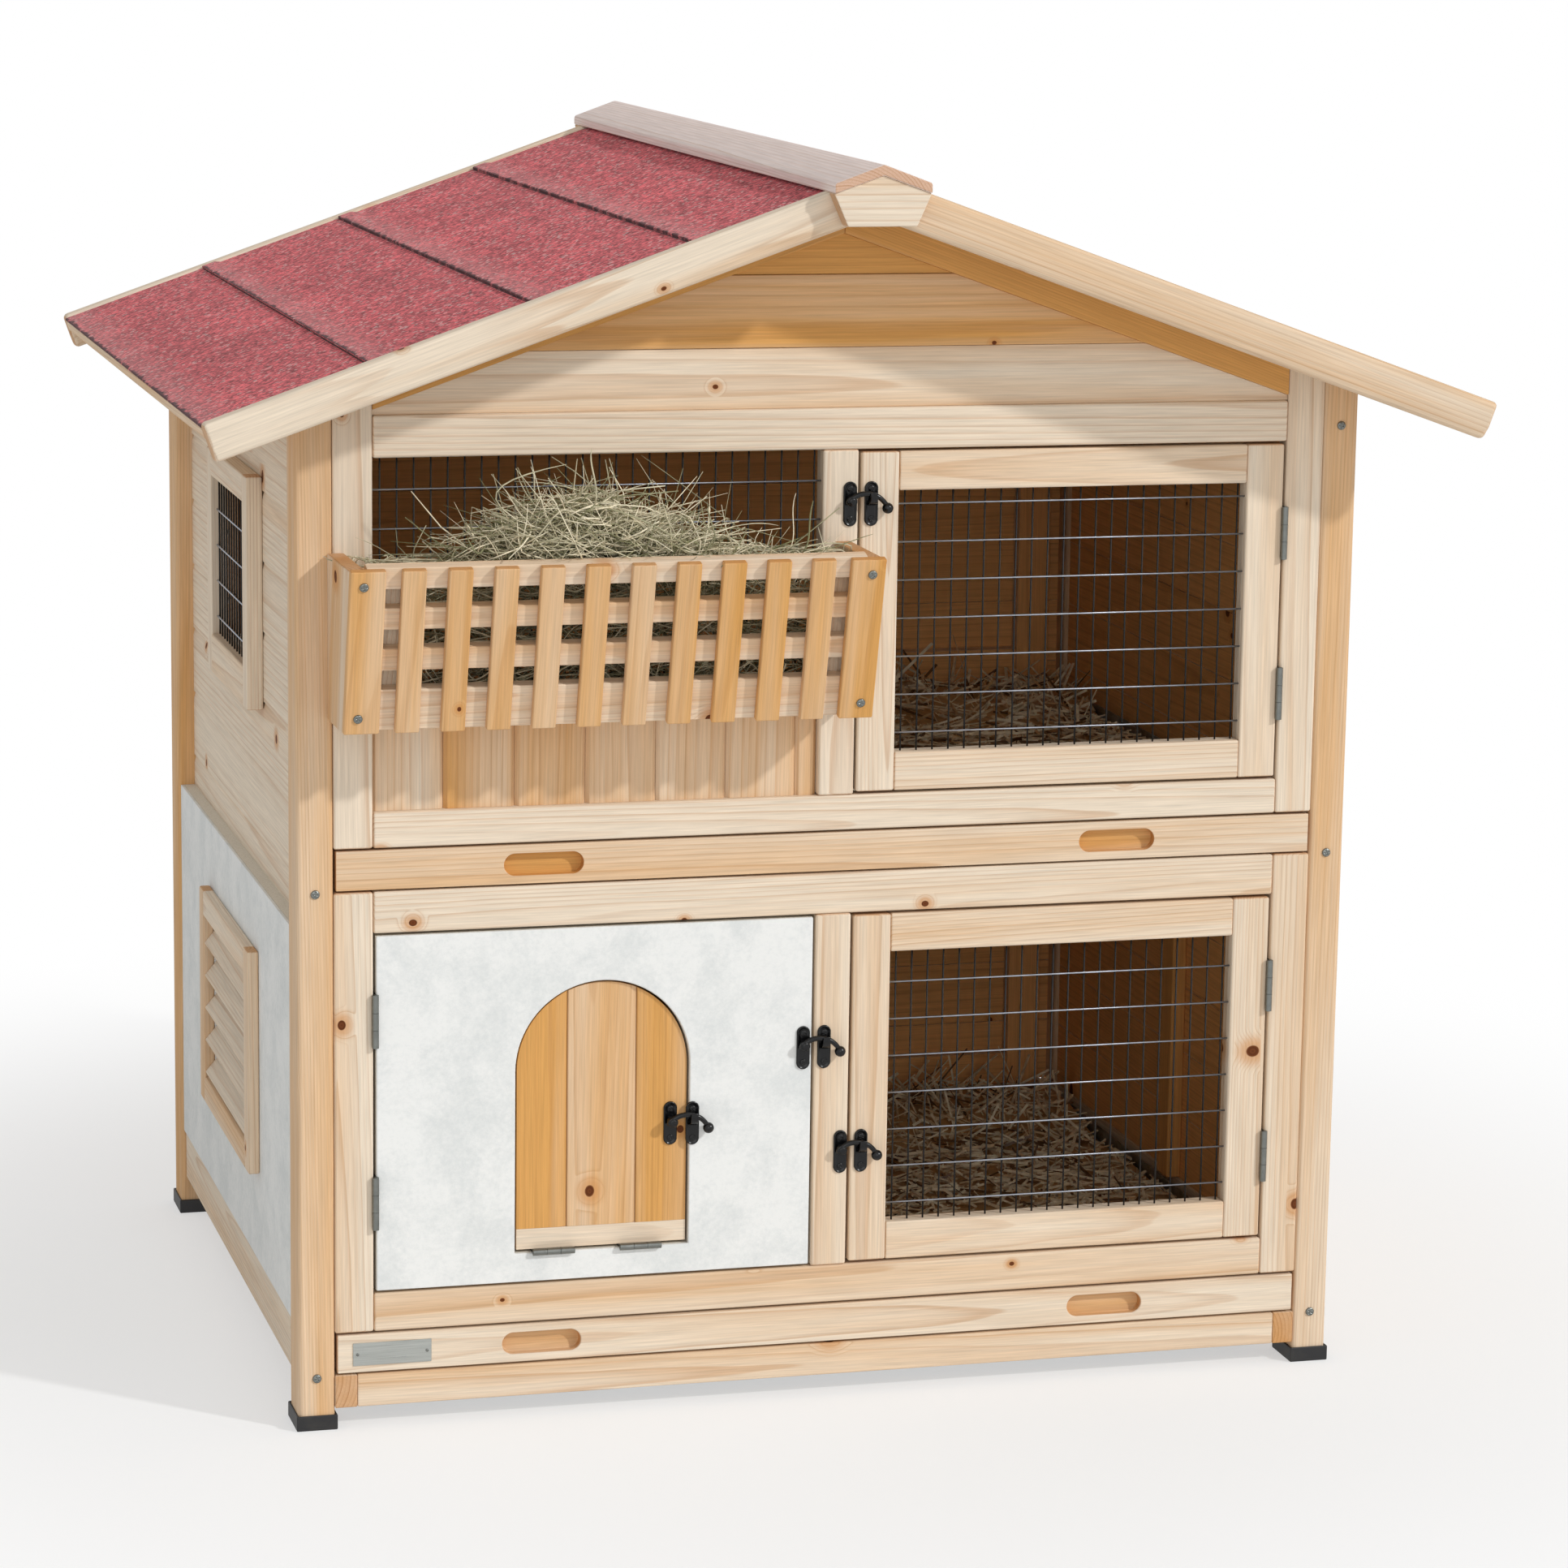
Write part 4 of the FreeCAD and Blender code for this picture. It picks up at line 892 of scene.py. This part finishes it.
class HUTCH_OT_panels(bpy.types.Operator):
    """Cement-look boards of the nest door and the side lining, with their foam"""
    bl_idname = "hutch.panels"
    bl_label = "Panels"

    def execute(self, context):
        coat = known("cement_coated_board", cement_coated_board)
        solid_copy("insulated_door_skins", 1.2 * MM, coat)
        solid_copy("side_panel_skin", 0.8 * MM, coat)
        for node in ("insulated_door_core", "side_panel_core"):
            refinish(node, known("foam_core", foam_core))
        return {"FINISHED"}


class HUTCH_OT_window_and_vent(bpy.types.Operator):
    """Frame of the side window, and frame and louvres of the vent"""
    bl_idname = "hutch.window_and_vent"
    bl_label = "Window and vent"

    def execute(self, context):
        timber("side_window_frame", 2 * MM, (-0.2, 0.4))
        timber("vent_frame", 2 * MM, (-0.2, 0.4))
        timber("vent_slats", 1.2 * MM, (-0.4, 0.0))
        return {"FINISHED"}


class HUTCH_OT_doors(bpy.types.Operator):
    """Frames of the wire doors, and the boards of the flap"""
    bl_idname = "hutch.doors"
    bl_label = "Doors"

    def execute(self, context):
        timber("upper_door_frame", 2 * MM, (0.02, 0.22), segments=3)
        timber("lower_door_frame", 2 * MM, (0.05, 0.3), segments=3)
        timber("flap_boards", 0.8 * MM, [0.1, 0.8, 1.0, 0.6], rings=1.2)
        return {"FINISHED"}


class HUTCH_OT_trays(bpy.types.Operator):
    """Fronts and pans of the two litter trays"""
    bl_idname = "hutch.trays"
    bl_label = "Trays"

    def execute(self, context):
        timber("upper_tray_front", 2 * MM, (0.25, 0.45), segments=3)
        timber("lower_tray_front", 2 * MM, (0.1, 0.3), segments=3)
        for node in ("upper_tray_pan", "lower_tray_pan"):
            refinish(node, known("hot_dipped_sheet", dipped_sheet))
        return {"FINISHED"}


class HUTCH_OT_rack(bpy.types.Operator):
    """Cheeks, rails and slats of the hay rack"""
    bl_idname = "hutch.rack"
    bl_label = "Hay rack"

    def execute(self, context):
        timber("rack_cheeks", 1.5 * MM, (0.3, 0.7), leaning=True)
        timber("rack_rails", 1.2 * MM, (0.1, 0.35))
        slats = [0.8, 0.75, 0.85, 0.8, 0.7, 0.78, 0.75, 0.85, 0.75, 0.85, 0.65, 0.85]
        timber("rack_slats", 1.5 * MM, slats, leaning=True)
        return {"FINISHED"}


class HUTCH_OT_wire_mesh(bpy.types.Operator):
    """Welded mesh of round wire in the windows and the doors"""
    bl_idname = "hutch.wire_mesh"
    bl_label = "Wire mesh"

    def execute(self, context):
        radius = settings("metals").wire_size / 2
        wire_finish = known("hot_dipped_wire", dipped_wire)
        for node in ("front_window_mesh", "upper_door_mesh", "lower_door_mesh", "side_window_mesh"):
            low, high = np.array(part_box(node))
            sideways = node.startswith("side")
            along, depth = (1, 0) if sideways else (0, 1)
            # upright wires each 15 mm lie behind level ones each 34.5 mm, and all of them cross the
            # whole opening
            back, front = high[depth] - radius, low[depth] + radius
            uprights = np.arange(low[along] + 7.5 * MM, high[along], 15 * MM)
            levels = np.arange(low[2] + 17 * MM, high[2], 34.5 * MM)
            paths = []
            for n, places in enumerate((uprights, levels)):
                ends = np.empty((len(places), 2, 3))
                ends[:, :, depth] = (back, front)[n]
                ends[:, :, (along, 2)[n]] = places[:, None]
                span = (2, along)[n]
                ends[:, 0, span] = low[span]
                ends[:, 1, span] = high[span]
                paths.append(ends)
            sides = 8
            mesh = surface(node, *tubes(np.concatenate(paths), radius, sides))
            level = np.arange(len(uprights) + len(levels)) >= len(uprights)
            attribute(mesh, "level", np.repeat(level, 2 * sides).astype(float))
            stand_in(node, mesh, wire_finish, "_wires")
        return {"FINISHED"}


def screw(radius, top, axis, length, turn=0.4):
    """A pan-head screw whose head's crown is at top, with axis pointing out of the wood. Its
    profile is turned about the axis. Where a point of the crown lies within a slot's half width of
    either of two crossed lines, and nearer the middle than six tenths of the radius, it is pushed
    in by a quarter of the radius."""
    axis, top = np.array(axis, float), np.array(top)
    height = 0.55 * radius
    crown = np.linspace(0.95, 0.04, 12)
    dome = height * np.sqrt(1 - 0.75 * crown ** 2)
    profile = [(0.15 * radius, -length), (0.45 * radius, 2 * MM - length), (0.45 * radius, 0),
               (radius, 0), (radius, 0.3 * height), *zip(radius * crown, dome)]
    points, faces = turned(profile, 40, top - height * axis, axis)
    off = points - top
    guide = unit(np.cross(axis, (0.0, 0.0, 1.0)))
    over = np.cross(axis, guide)
    u = off @ (math.cos(turn) * guide + math.sin(turn) * over)
    v = off @ (math.cos(turn) * over - math.sin(turn) * guide)
    in_slot = np.minimum(abs(u), abs(v)) < 0.15 * radius
    sunk = (off @ axis > -0.8 * height) & (np.hypot(u, v) < 0.62 * radius) & in_slot
    return points - 0.26 * radius * sunk[:, None] * axis, faces


def turned_mm(pairs, sides, centre):
    """A solid turned about the hutch's depth, from pairs of radius and height in millimetres."""
    return turned(np.array(pairs) * MM, sides, centre)


def plate(x, z, face):
    """A latch plate: a ring profile turned about its middle, whose upper and lower halves are then
    moved apart to make a stadium, with a screw head near each end."""
    rise = [(6.2, 0.0), (6.2, 1.1), (5.9, 1.7), (5.3, 2.0), (4.9, 1.9), (4.6, 1.5), (2.0, 1.5),
            (0.4, 1.5)]
    points, faces = turned_mm(rise, 56, (x, face, z))
    above = points[:, 2] - z
    points[:, 2] += 13.8 * MM * np.sign(above) * (abs(above) > 1e-4 * MM)
    heads = [screw(2.9 * MM, (x, face - 2.6 * MM, z + end * 13.4 * MM), (0, -1, 0), 5 * MM,
                   0.3 + end) for end in (-1, 1)]
    return join((points, faces), *heads)


def pivot(x, z, face, front):
    """A plate's rivet: a boss under the hook's eye, a neck through it and a domed head over it."""
    deep = (face - front) / MM
    boss = [(4.3, 0), (4.2, deep - 0.5), (3.7, deep), (1.95, deep)]
    head = [(1.95, 4.25), (3.0, 4.3), (3.4, 4.55), (3.0, 5.0), (1.8, 5.25), (0.5, 5.3)]
    steps = boss + [(radius, deep + height) for radius, height in head]
    return turned_mm(steps, 28, (x, face, z + 3 * MM))


def cradle(x, z, face):
    """The keeper's lip: a strip with rounded edges carried out of the plate along a quarter of an
    ellipse and then straight up. Its section is a superellipse 7 mm wide and 1.8 mm thick."""
    t = np.linspace(0, 1, 24)
    bend = np.clip(t / 0.75, 0, 1) * np.pi / 2
    finish = np.clip((t - 0.75) / 0.25, 0, 1)
    out = 9.6 * np.sin(bend) - 0.8
    up = 9.0 * (1 - np.cos(bend)) + 3.0 * finish - 0.7
    path = np.stack([np.full_like(t, x), face - out * MM, z + up * MM], -1)
    ahead = unit(np.gradient(path, axis=0))
    across = np.array([1.0, 0, 0])
    thick = np.cross(ahead, across)
    cosine, sine = circle(20)
    wide = 3.5 * MM * np.sign(cosine) * abs(cosine) ** 0.5
    deep = 0.9 * MM * np.sign(sine) * abs(sine) ** 0.5
    taper = np.sqrt(np.clip(1 - finish ** 6, 0.02, 1))
    return skin(path[:, None] + wide * across * taper[:, None, None] + deep * thick[:, None])


def hook_arm(x, z, face):
    """A latch hook: a round bar along a cubic curve from the left of its eye over the gap and down
    to a ball. The bar's radius falls from 2.6 mm to 2.2 mm, and the ball is 10 mm across."""
    y = face - 7.15 * MM
    t = np.linspace(0, 1, 26)
    nodes = np.array([[(-3.9, 0.2), (0.5, 11.6), (24.0, 15.0), (32.6, -2.6)]]) * MM
    flat = cubic(nodes, t)[0]
    path = np.stack([x + flat[:, 0], np.full_like(t, y), z + flat[:, 1]], -1)
    radius = (2.6 - 0.4 * t) * MM
    radius[0] *= 0.55
    arm = tubes(path[None], radius[None], 14)
    angle = np.linspace(0.02, 1, 18)[:-1] * np.pi
    ball = turned_mm([(5 * math.sin(a), -5 * math.cos(a)) for a in angle], 24,
                     (x + 33 * MM, y, z - 3.5 * MM))
    rim = [(2.2, -1.9), (4.3, -1.9), (4.6, -1.5), (4.6, 1.3), (4.1, 1.9), (2.2, 1.9)]
    eye = turned_mm(rim, 28, (x, y, z + 3 * MM))
    return join(arm, ball, eye)


class HUTCH_OT_hinges_and_screws(bpy.types.Operator):
    """Zinc hinges and the pan-head screws of the frame"""
    bl_idname = "hutch.hinges_and_screws"
    bl_label = "Hinges and screws"

    def execute(self, context):
        zinc = known("zinc_plated_steel", zinc_plate)
        for node in ("fixed_hinge_leaves", "door_hinge_pins", "upper_door_hinge_leaves",
                     "lower_door_hinge_leaves", "insulated_door_hinge_leaves", "flap_hinge_pins",
                     "flap_hinge_leaves"):
            refinish(node, zinc)
        # each screw stands where its CAD solid does: along the longest axis of its points
        points, triangles, solid = split_solids("carcass_screws")
        made = []
        for n in range(solid.max() + 1):
            own = points[np.unique(triangles[solid == n])]
            off = own - own.mean(axis=0)
            axis = np.linalg.svd(off, full_matrices=False)[2][0]
            axis *= -np.sign(axis[1])
            along = own @ axis
            top = own[along > along.max() - 0.01 * MM].mean(axis=0)
            made.append(screw(4 * MM, top, axis, 24 * MM, 0.5 + n))
        mesh = surface("screws", *join(*made))
        stand_in("carcass_screws", mesh, zinc)
        return {"FINISHED"}


class HUTCH_OT_latches(bpy.types.Operator):
    """Hooks, pivot plates and keepers of the four latches"""
    bl_idname = "hutch.latches"
    bl_label = "Latches"

    def execute(self, context):
        lacquer = known("black_lacquered_steel", black_lacquer)

        def put(node, *parts):
            stand_in(node, surface(node, *join(*parts)), lacquer)

        # the plates are 2 mm thick, the boss under a hook ends 5 mm off the wood, and the keeper's
        # plate stands 19.5 mm from the pivot's
        bed, boss, across = FRONT - 2 * MM, FRONT - 5 * MM, 19.5 * MM

        def keeper(x, z):
            return plate(x + across, z, FRONT), cradle(x + across, z, bed)

        places = {}
        for name in ("upper_door", "lower_door", "insulated_door", "flap"):
            # the pivot plate's middle, measured from the lower left corner of the hook's box
            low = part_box(name + "_hook")[0]
            places[name] = (low[0] + 4.6 * MM, low[2] + 8.3 * MM)
            put(name + "_hook", hook_arm(*places[name], FRONT))
        stile = []
        for name in ("upper_door", "lower_door"):
            x, z = places[name]
            stile += [plate(x, z, FRONT), pivot(x, z, bed, boss)]
            put(name + "_keeper", *keeper(x, z))
        put("stile_latch_plates", *stile, *keeper(*places["insulated_door"]))
        x, z = places["insulated_door"]
        put("insulated_door_latch_plates", plate(x, z, FRONT), pivot(x, z, bed, boss),
            *keeper(*places["flap"]))
        x, z = places["flap"]
        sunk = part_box("flap_latch_plate")[1][1]
        put("flap_latch_plate", plate(x, z, sunk), pivot(x, z, sunk - 2 * MM, boss))
        return {"FINISHED"}


class HUTCH_OT_feet(bpy.types.Operator):
    """Plastic caps under the posts"""
    bl_idname = "hutch.feet"
    bl_label = "Foot caps"

    def execute(self, context):
        solid_copy("foot_caps", 1 * MM, known("black_moulded_plastic", moulded_plastic))
        return {"FINISHED"}


class HUTCH_OT_badge(bpy.types.Operator):
    """Bare metal plate on the lower tray, with its two pins"""
    bl_idname = "hutch.badge"
    bl_label = "Bare plate"

    def execute(self, context):
        solid_copy("badge_plate", 0.3 * MM, known("brushed_badge_metal", brushed_badge))
        low, high = np.array(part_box("badge_plate"))
        dome = [(1.5, 0), (1.4, 0.35), (0.9, 0.7), (0.3, 0.8)]
        height = (low[2] + high[2]) / 2
        pins = [turned_mm(dome, 14, (x, low[1], height))
                for x in (low[0] + 4 * MM, high[0] - 4 * MM)]
        mesh = surface("badge_pins", *join(*pins))
        piece("badge_pins", mesh, "lower_tray",
              known("zinc_plated_steel", zinc_plate))
        return {"FINISHED"}


class HUTCH_OT_hay(bpy.types.Operator):
    """Hay in the rack, heaped over its rim"""
    bl_idname = "hutch.hay"
    bl_label = "Hay"

    def execute(self, context):
        look = settings("fill")
        chance = seeded("hay")
        count, stations = look.hay_stalks, 10
        heaped = np.arange(count) < 0.55 * count
        low, high = np.array(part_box("rack_slats"))
        left, right = low[0] + 22 * MM, high[0] - 22 * MM
        rim, floor = high[2], low[2] + 16 * MM
        # the heap's outline is a wavy bell about 50 mm high, left of the middle
        crest = -243 * MM
        side = chance.normal(0, 1, count)
        x = np.where(heaped & (chance.uniform(0, 1, count) < 0.94),
                     crest + side * np.where(side < 0, 38, 64) * MM,
                     chance.uniform(left + 40 * MM * heaped, right, count)).clip(left, right)
        waves = (50 + 9 * np.sin(x * 95) + 6 * np.sin(x * 210 + 1)) * MM
        bell = np.exp(-((x - crest) / (100 * MM)) ** 2) * waves
        up = chance.uniform(0, 1, count)
        z = np.where(heaped, rim - 10 * MM + bell * up ** 0.8, floor + (rim - floor) * up)
        depth = np.where(heaped, chance.uniform(12, 88, count),
                         10 + 60 * chance.uniform(0, 1, count) ** 1.6)
        start = np.stack([x, FRONT - depth * MM, z], -1)
        turn = chance.uniform(0, 2 * np.pi, count)
        ahead = unit(np.stack([np.cos(turn), 0.4 * np.sin(turn), chance.normal(0, 0.2, count)], -1))
        span = np.where(heaped, chance.uniform(28, 105, count), chance.uniform(40, 150, count)) * MM
        t = np.linspace(-0.5, 0.5, stations)[None, :, None]
        # a stalk is a straight line, plus a square and a cube of the way along it that bend and
        # twist it
        bend = chance.normal(0, 0.95, (count, 1, 3)) * [1, 0.5, 0.8]
        twist = chance.normal(0, 3.0, (count, 1, 3)) * [1, 0.5, 0.8]
        curve = t * ahead[:, None] + (t * t - 0.08) * bend + (t ** 3 - t * 0.15) * twist
        paths = start[:, None] + span[:, None, None] * curve
        # single stalks that stand clear of the heap, each through four points (x and z in
        # millimetres)
        loose = np.array([[(-88, 796), (-125, 824), (-160, 852), (-199, 879)],
                          [(-300, 822), (-352, 848), (-325, 862), (-266, 873)],
                          [(-72, 794), (-62, 812), (-73, 826), (-66, 846)],
                          [(-58, 792), (-48, 806), (-55, 818), (-49, 838)],
                          [(-60, 790), (-30, 801), (-10, 797), (11, 789)],
                          [(-45, 791), (-22, 795), (-4, 803), (9, 806)],
                          [(-357, 794), (-372, 806), (-388, 812), (-398, 826)],
                          [(-405, 790), (-418, 797), (-428, 806), (-446, 812)],
                          [(-243, 838), (-238, 858), (-250, 872), (-246, 888)],
                          [(-283, 830), (-292, 846), (-284, 858), (-291, 868)],
                          [(-150, 800), (-118, 812), (-92, 818), (-70, 812)]], float) * MM
        flat = cubic(loose, np.linspace(0, 1, stations))
        forward = FRONT - chance.uniform(45, 95, (len(loose), 1)) * MM * np.ones(stations)
        paths[:len(loose)] = np.stack([flat[..., 0], forward, flat[..., 1]], -1)
        # below the rim the stalks stay inside the rack, which widens upwards, and above it clear of
        # the door
        below = paths[..., 2] < rim + 2 * MM
        room = 52 + 32 * np.clip((paths[..., 2] - floor) / (rim - floor), 0, 1)
        front = FRONT - np.where(below, room, 112) * MM
        paths[..., 1] = np.clip(paths[..., 1], front, FRONT - 3 * MM)
        paths[..., 0] = np.where(below, np.clip(paths[..., 0], left - 6 * MM, right + 6 * MM),
                                 np.clip(paths[..., 0], left - 26 * MM, 12 * MM))
        paths[..., 2] = np.maximum(paths[..., 2], floor - 4 * MM)
        paths[~heaped, :, 2] = np.minimum(paths[~heaped, :, 2], rim - 4 * MM)
        taper = np.interp(np.linspace(0, 1, stations), [0, 0.15, 0.8, 1], [0.6, 1, 0.9, 0.35])
        thick = chance.uniform(0.4, 1.0, count)[:, None] * MM * taper
        mesh = surface("hay", *tubes(paths, thick))
        shades = np.stack([chance.beta(0.9, 0.8, count), chance.uniform(0, 1, count)], -1)
        paint_stalks(mesh, shades, stations * 3)
        finish = known("dry_hay", partial(dry_stalks, dark=look.green_hay, light=look.dry_hay))
        piece("hay", mesh, "carcass", finish)
        return {"FINISHED"}


def bank(x, y, start, height):
    """How far up the bank of litter at the back of a tray a place lies, from nought to one over 90
    mm of depth, and the bank's height there, which falls away to the right."""
    share = np.clip((y - start) / (90 * MM), 0, 1)
    return share, height * share * (0.75 - 0.6 * x)


def litter_bed(low, high):
    """A closed slab between two corners. Its top is a gentle swell of sine waves plus the bank, its
    underside the same grid brought down to the floor, and a skirt joins the two along the grid's
    rim."""
    columns, rows = 46, 36
    across, back = np.meshgrid(np.linspace(low[0], high[0], columns),
                               np.linspace(low[1], high[1], rows), indexing="ij")
    swell = (np.sin(across * 17 + 1) * np.cos(back * 13) + np.sin(across * 41 + back * 29)) / 2
    top = low[2] + (high[2] - low[2]) * (0.68 + 0.12 * swell)
    top = top + bank(across, back, 160 * MM, 30 * MM)[1]
    upper = np.stack([across, back, top], -1).reshape(-1, 3)
    under = upper * [1, 1, 0] + [0, 0, low[2]]
    square = squares(columns, rows)
    sheet = np.concatenate([square[:, [0, 1, 2]], square[:, [0, 2, 3]]])
    number = np.arange(columns * rows).reshape(columns, rows)
    rim = np.concatenate([number[:-1, 0], number[-1, :-1], number[:0:-1, -1], number[0, :0:-1]])
    ahead = np.roll(rim, -1)
    n = len(upper)
    skirt = np.concatenate([np.stack([rim, rim + n, ahead + n], -1),
                            np.stack([rim, ahead + n, ahead], -1)])
    return np.concatenate([upper, under]), np.concatenate([sheet, sheet[:, ::-1] + n, skirt])


class HUTCH_OT_straw(bpy.types.Operator):
    """Chopped straw and chips on both trays"""
    bl_idname = "hutch.straw"
    bl_label = "Straw"

    def execute(self, context):
        look = settings("fill")
        count = look.straw_stalks
        finish = known("chopped_straw", partial(
            dry_stalks, dark=linear("#C89C62"), light=look.straw, brown=look.old_straw,
            rough=0.38, shine=0.5))
        # the lower tray's straw is drawn paler than the upper one's, as painted light for the
        # stronger light that reaches it
        for tray, painted_light_share in (("upper_tray", 1.2), ("lower_tray", 2.4)):
            low, high = np.array(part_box(tray + "_pan"))
            low, high = low + np.array([4, 4, 1]) * MM, high - np.array([4, 4, 1.5]) * MM
            bed = litter_bed(low, high)
            chance = seeded(tray)
            middle = low[:2] + chance.uniform(0, 1, (count, 2)) * (high - low)[:2]
            length = chance.gamma(3.0, 12.0, count).clip(8, 90) * MM
            turn = chance.uniform(0, 2 * np.pi, count)
            raised, rise = bank(middle[:, 0], middle[:, 1], 175 * MM, 32 * MM)
            level = 0.72 + 0.28 * chance.uniform(0, 1, count)
            height = low[2] + (high[2] - low[2]) * level + rise
            slope = chance.normal(0, 0.35 + 0.25 * raised, count)
            half = np.stack([np.cos(turn), np.sin(turn), slope], -1) * length[:, None] / 2
            centre = np.concatenate([middle, height[:, None]], axis=1)
            paths = np.stack([centre - half, centre + half], axis=1)
            # no stalk reaches through the pan, or above the litter into the frame over it
            ceiling = high[2] + np.clip((paths[..., 1] - 145 * MM) * 0.6, -2 * MM, 60 * MM)
            paths[..., :2] = np.clip(paths[..., :2], low[:2] + 2 * MM, high[:2] - 2 * MM)
            paths[..., 2] = np.clip(paths[..., 2], low[2] + 2 * MM, ceiling)
            short = np.linalg.norm(paths[:, 1] - paths[:, 0], axis=1) < 3 * MM
            paths[short, 1] = paths[short, 0] + [4 * MM, 1 * MM, 0]
            stalks = tubes(paths, chance.uniform(0.5, 1.9, count)[:, None] * MM)
            mesh = surface(tray + "_litter", *join(bed, stalks), smooth=False)
            shades = np.stack([chance.beta(painted_light_share, 0.75, count), chance.uniform(0, 0.92, count)], -1)
            paint_stalks(mesh, shades, 2 * 3, bed=len(bed[0]))
            piece(tray + "_litter", mesh, tray, finish)
        return {"FINISHED"}


def direction(azimuth, elevation):
    """From the hutch towards a place at this azimuth, which counts from the front to the right, and
    height."""
    flat = math.cos(elevation)
    return Vector((math.sin(azimuth) * flat, -math.cos(azimuth) * flat, math.sin(elevation)))


class HUTCH_OT_stage(bpy.types.Operator):
    """Pale floor, soft light and camera"""
    bl_idname = "hutch.stage"
    bl_label = "Stage"

    def execute(self, context):
        look = settings("stage")
        scene = context.scene
        scene.view_settings.view_transform = "Standard"

        # the floor's light fades to plain white away from the hutch, for the camera and for
        # reflections only
        made, add, shader = material("pale_floor")
        at = add("TexCoord").outputs["Object"]
        off = add("VectorMath", {0: at, 1: (1, 1, 0)}, operation="MULTIPLY")
        off = add("VectorMath", {0: off}, operation="LENGTH")
        fade = add("MapRange", {0: off, 1: 0.5, 2: 1.7, 3: 0.5, 4: 1.0},
                   interpolation_type="SMOOTHERSTEP")
        share = add("Math", {0: fade, 1: background_rays(add)}, operation="MULTIPLY")
        wire(shader, {"Base Color": look.floor, "Roughness": 0.9, "Specular IOR Level": 0.0})
        white = add("Emission", {"Color": (1, 1, 1, 1), "Strength": 1.0})
        mixed = add("MixShader", {0: share, 1: shader, 2: white})
        wire(made.node_tree.get_output_node("ALL"), {"Surface": mixed})
        across, back = np.meshgrid(np.linspace(-30, 30, 5), np.linspace(-30, 30, 5), indexing="ij")
        points = np.stack([across, back, across * 0], -1).reshape(-1, 3)
        mesh = surface("floor", points, squares(5, 5), smooth=False)
        mesh.materials.append(made)
        floor = bpy.data.objects.new("floor", mesh)
        scene.collection.objects.link(floor)

        world = bpy.data.worlds.new("studio")
        scene.world = world
        world.use_nodes = True
        world.node_tree.nodes.clear()
        add = partial(add_node, world.node_tree)
        strength = add("MapRange", {0: background_rays(add), 3: look.sky, 4: 1.0})
        light = add("Background", {"Color": (1, 1, 1, 1), "Strength": strength})
        add("OutputWorld", {"Surface": light})

        # a high key light on the right, and a broad fill beside the camera that reaches into the
        # cages
        for name, energy, wide, azimuth, elevation in (("key", look.key, 3, 47, 32.5),
                                                       ("fill", look.fill, 35, -10, 14)):
            lamp = bpy.data.lights.new(name, "SUN")
            lamp.energy = energy
            lamp.angle = math.radians(wide)
            towards = direction(math.radians(azimuth), math.radians(elevation))
            lamp = bpy.data.objects.new(name, lamp)
            lamp.rotation_euler = towards.to_track_quat("Z", "Y").to_euler()
            scene.collection.objects.link(lamp)

        # the camera stands off the target along its azimuth and elevation, then rolls about its own
        # axis
        target = Vector((33.51, -85.0, 512.34)) * MM
        back = direction(look.azimuth, look.elevation)
        right = (-back).cross(Vector((0, 0, 1))).normalized()
        up = right.cross(-back)
        cosine, sine = math.cos(look.roll), math.sin(look.roll)
        rolled_right = cosine * right + sine * up
        rolled_up = cosine * up - sine * right
        lens = bpy.data.cameras.new("camera")
        lens.lens = look.lens
        lens.sensor_width = 36
        lens.clip_end = 100
        camera = bpy.data.objects.new("camera", lens)
        place = Matrix((rolled_right, rolled_up, back)).transposed().to_4x4()
        place.translation = target + back * look.distance
        camera.matrix_world = place
        scene.collection.objects.link(camera)
        scene.camera = camera
        return {"FINISHED"}


OPERATORS = [
    HUTCH_OT_frame_timber, HUTCH_OT_boards, HUTCH_OT_roof_timber, HUTCH_OT_felt, HUTCH_OT_panels,
    HUTCH_OT_window_and_vent, HUTCH_OT_doors, HUTCH_OT_trays, HUTCH_OT_rack, HUTCH_OT_wire_mesh,
    HUTCH_OT_hinges_and_screws, HUTCH_OT_latches, HUTCH_OT_feet, HUTCH_OT_badge, HUTCH_OT_hay,
    HUTCH_OT_straw, HUTCH_OT_stage]


class HUTCH_PT_pieces(bpy.types.Panel):
    """Lists the hutch's pieces"""
    bl_idname = "HUTCH_PT_pieces"
    bl_label = "Rabbit hutch"
    bl_space_type = "VIEW_3D"
    bl_region_type = "UI"
    bl_category = "Hutch"

    def draw(self, context):
        for kind in OPERATORS:
            self.layout.operator(kind.bl_idname)


def register():
    for kind in (*GROUPS.values(), *OPERATORS, HUTCH_PT_pieces):
        bpy.utils.register_class(kind)
    for name, kind in GROUPS.items():
        setattr(bpy.types.Scene, name, PointerProperty(type=kind))


def unregister():
    for name in GROUPS:
        delattr(bpy.types.Scene, name)
    for kind in (HUTCH_PT_pieces, *reversed(OPERATORS), *reversed(GROUPS.values())):
        bpy.utils.unregister_class(kind)


def main():
    register()
    for kind in OPERATORS:
        group, name = kind.bl_idname.split(".")
        getattr(getattr(bpy.ops, group), name)()


if __name__ == "__main__":
    main()
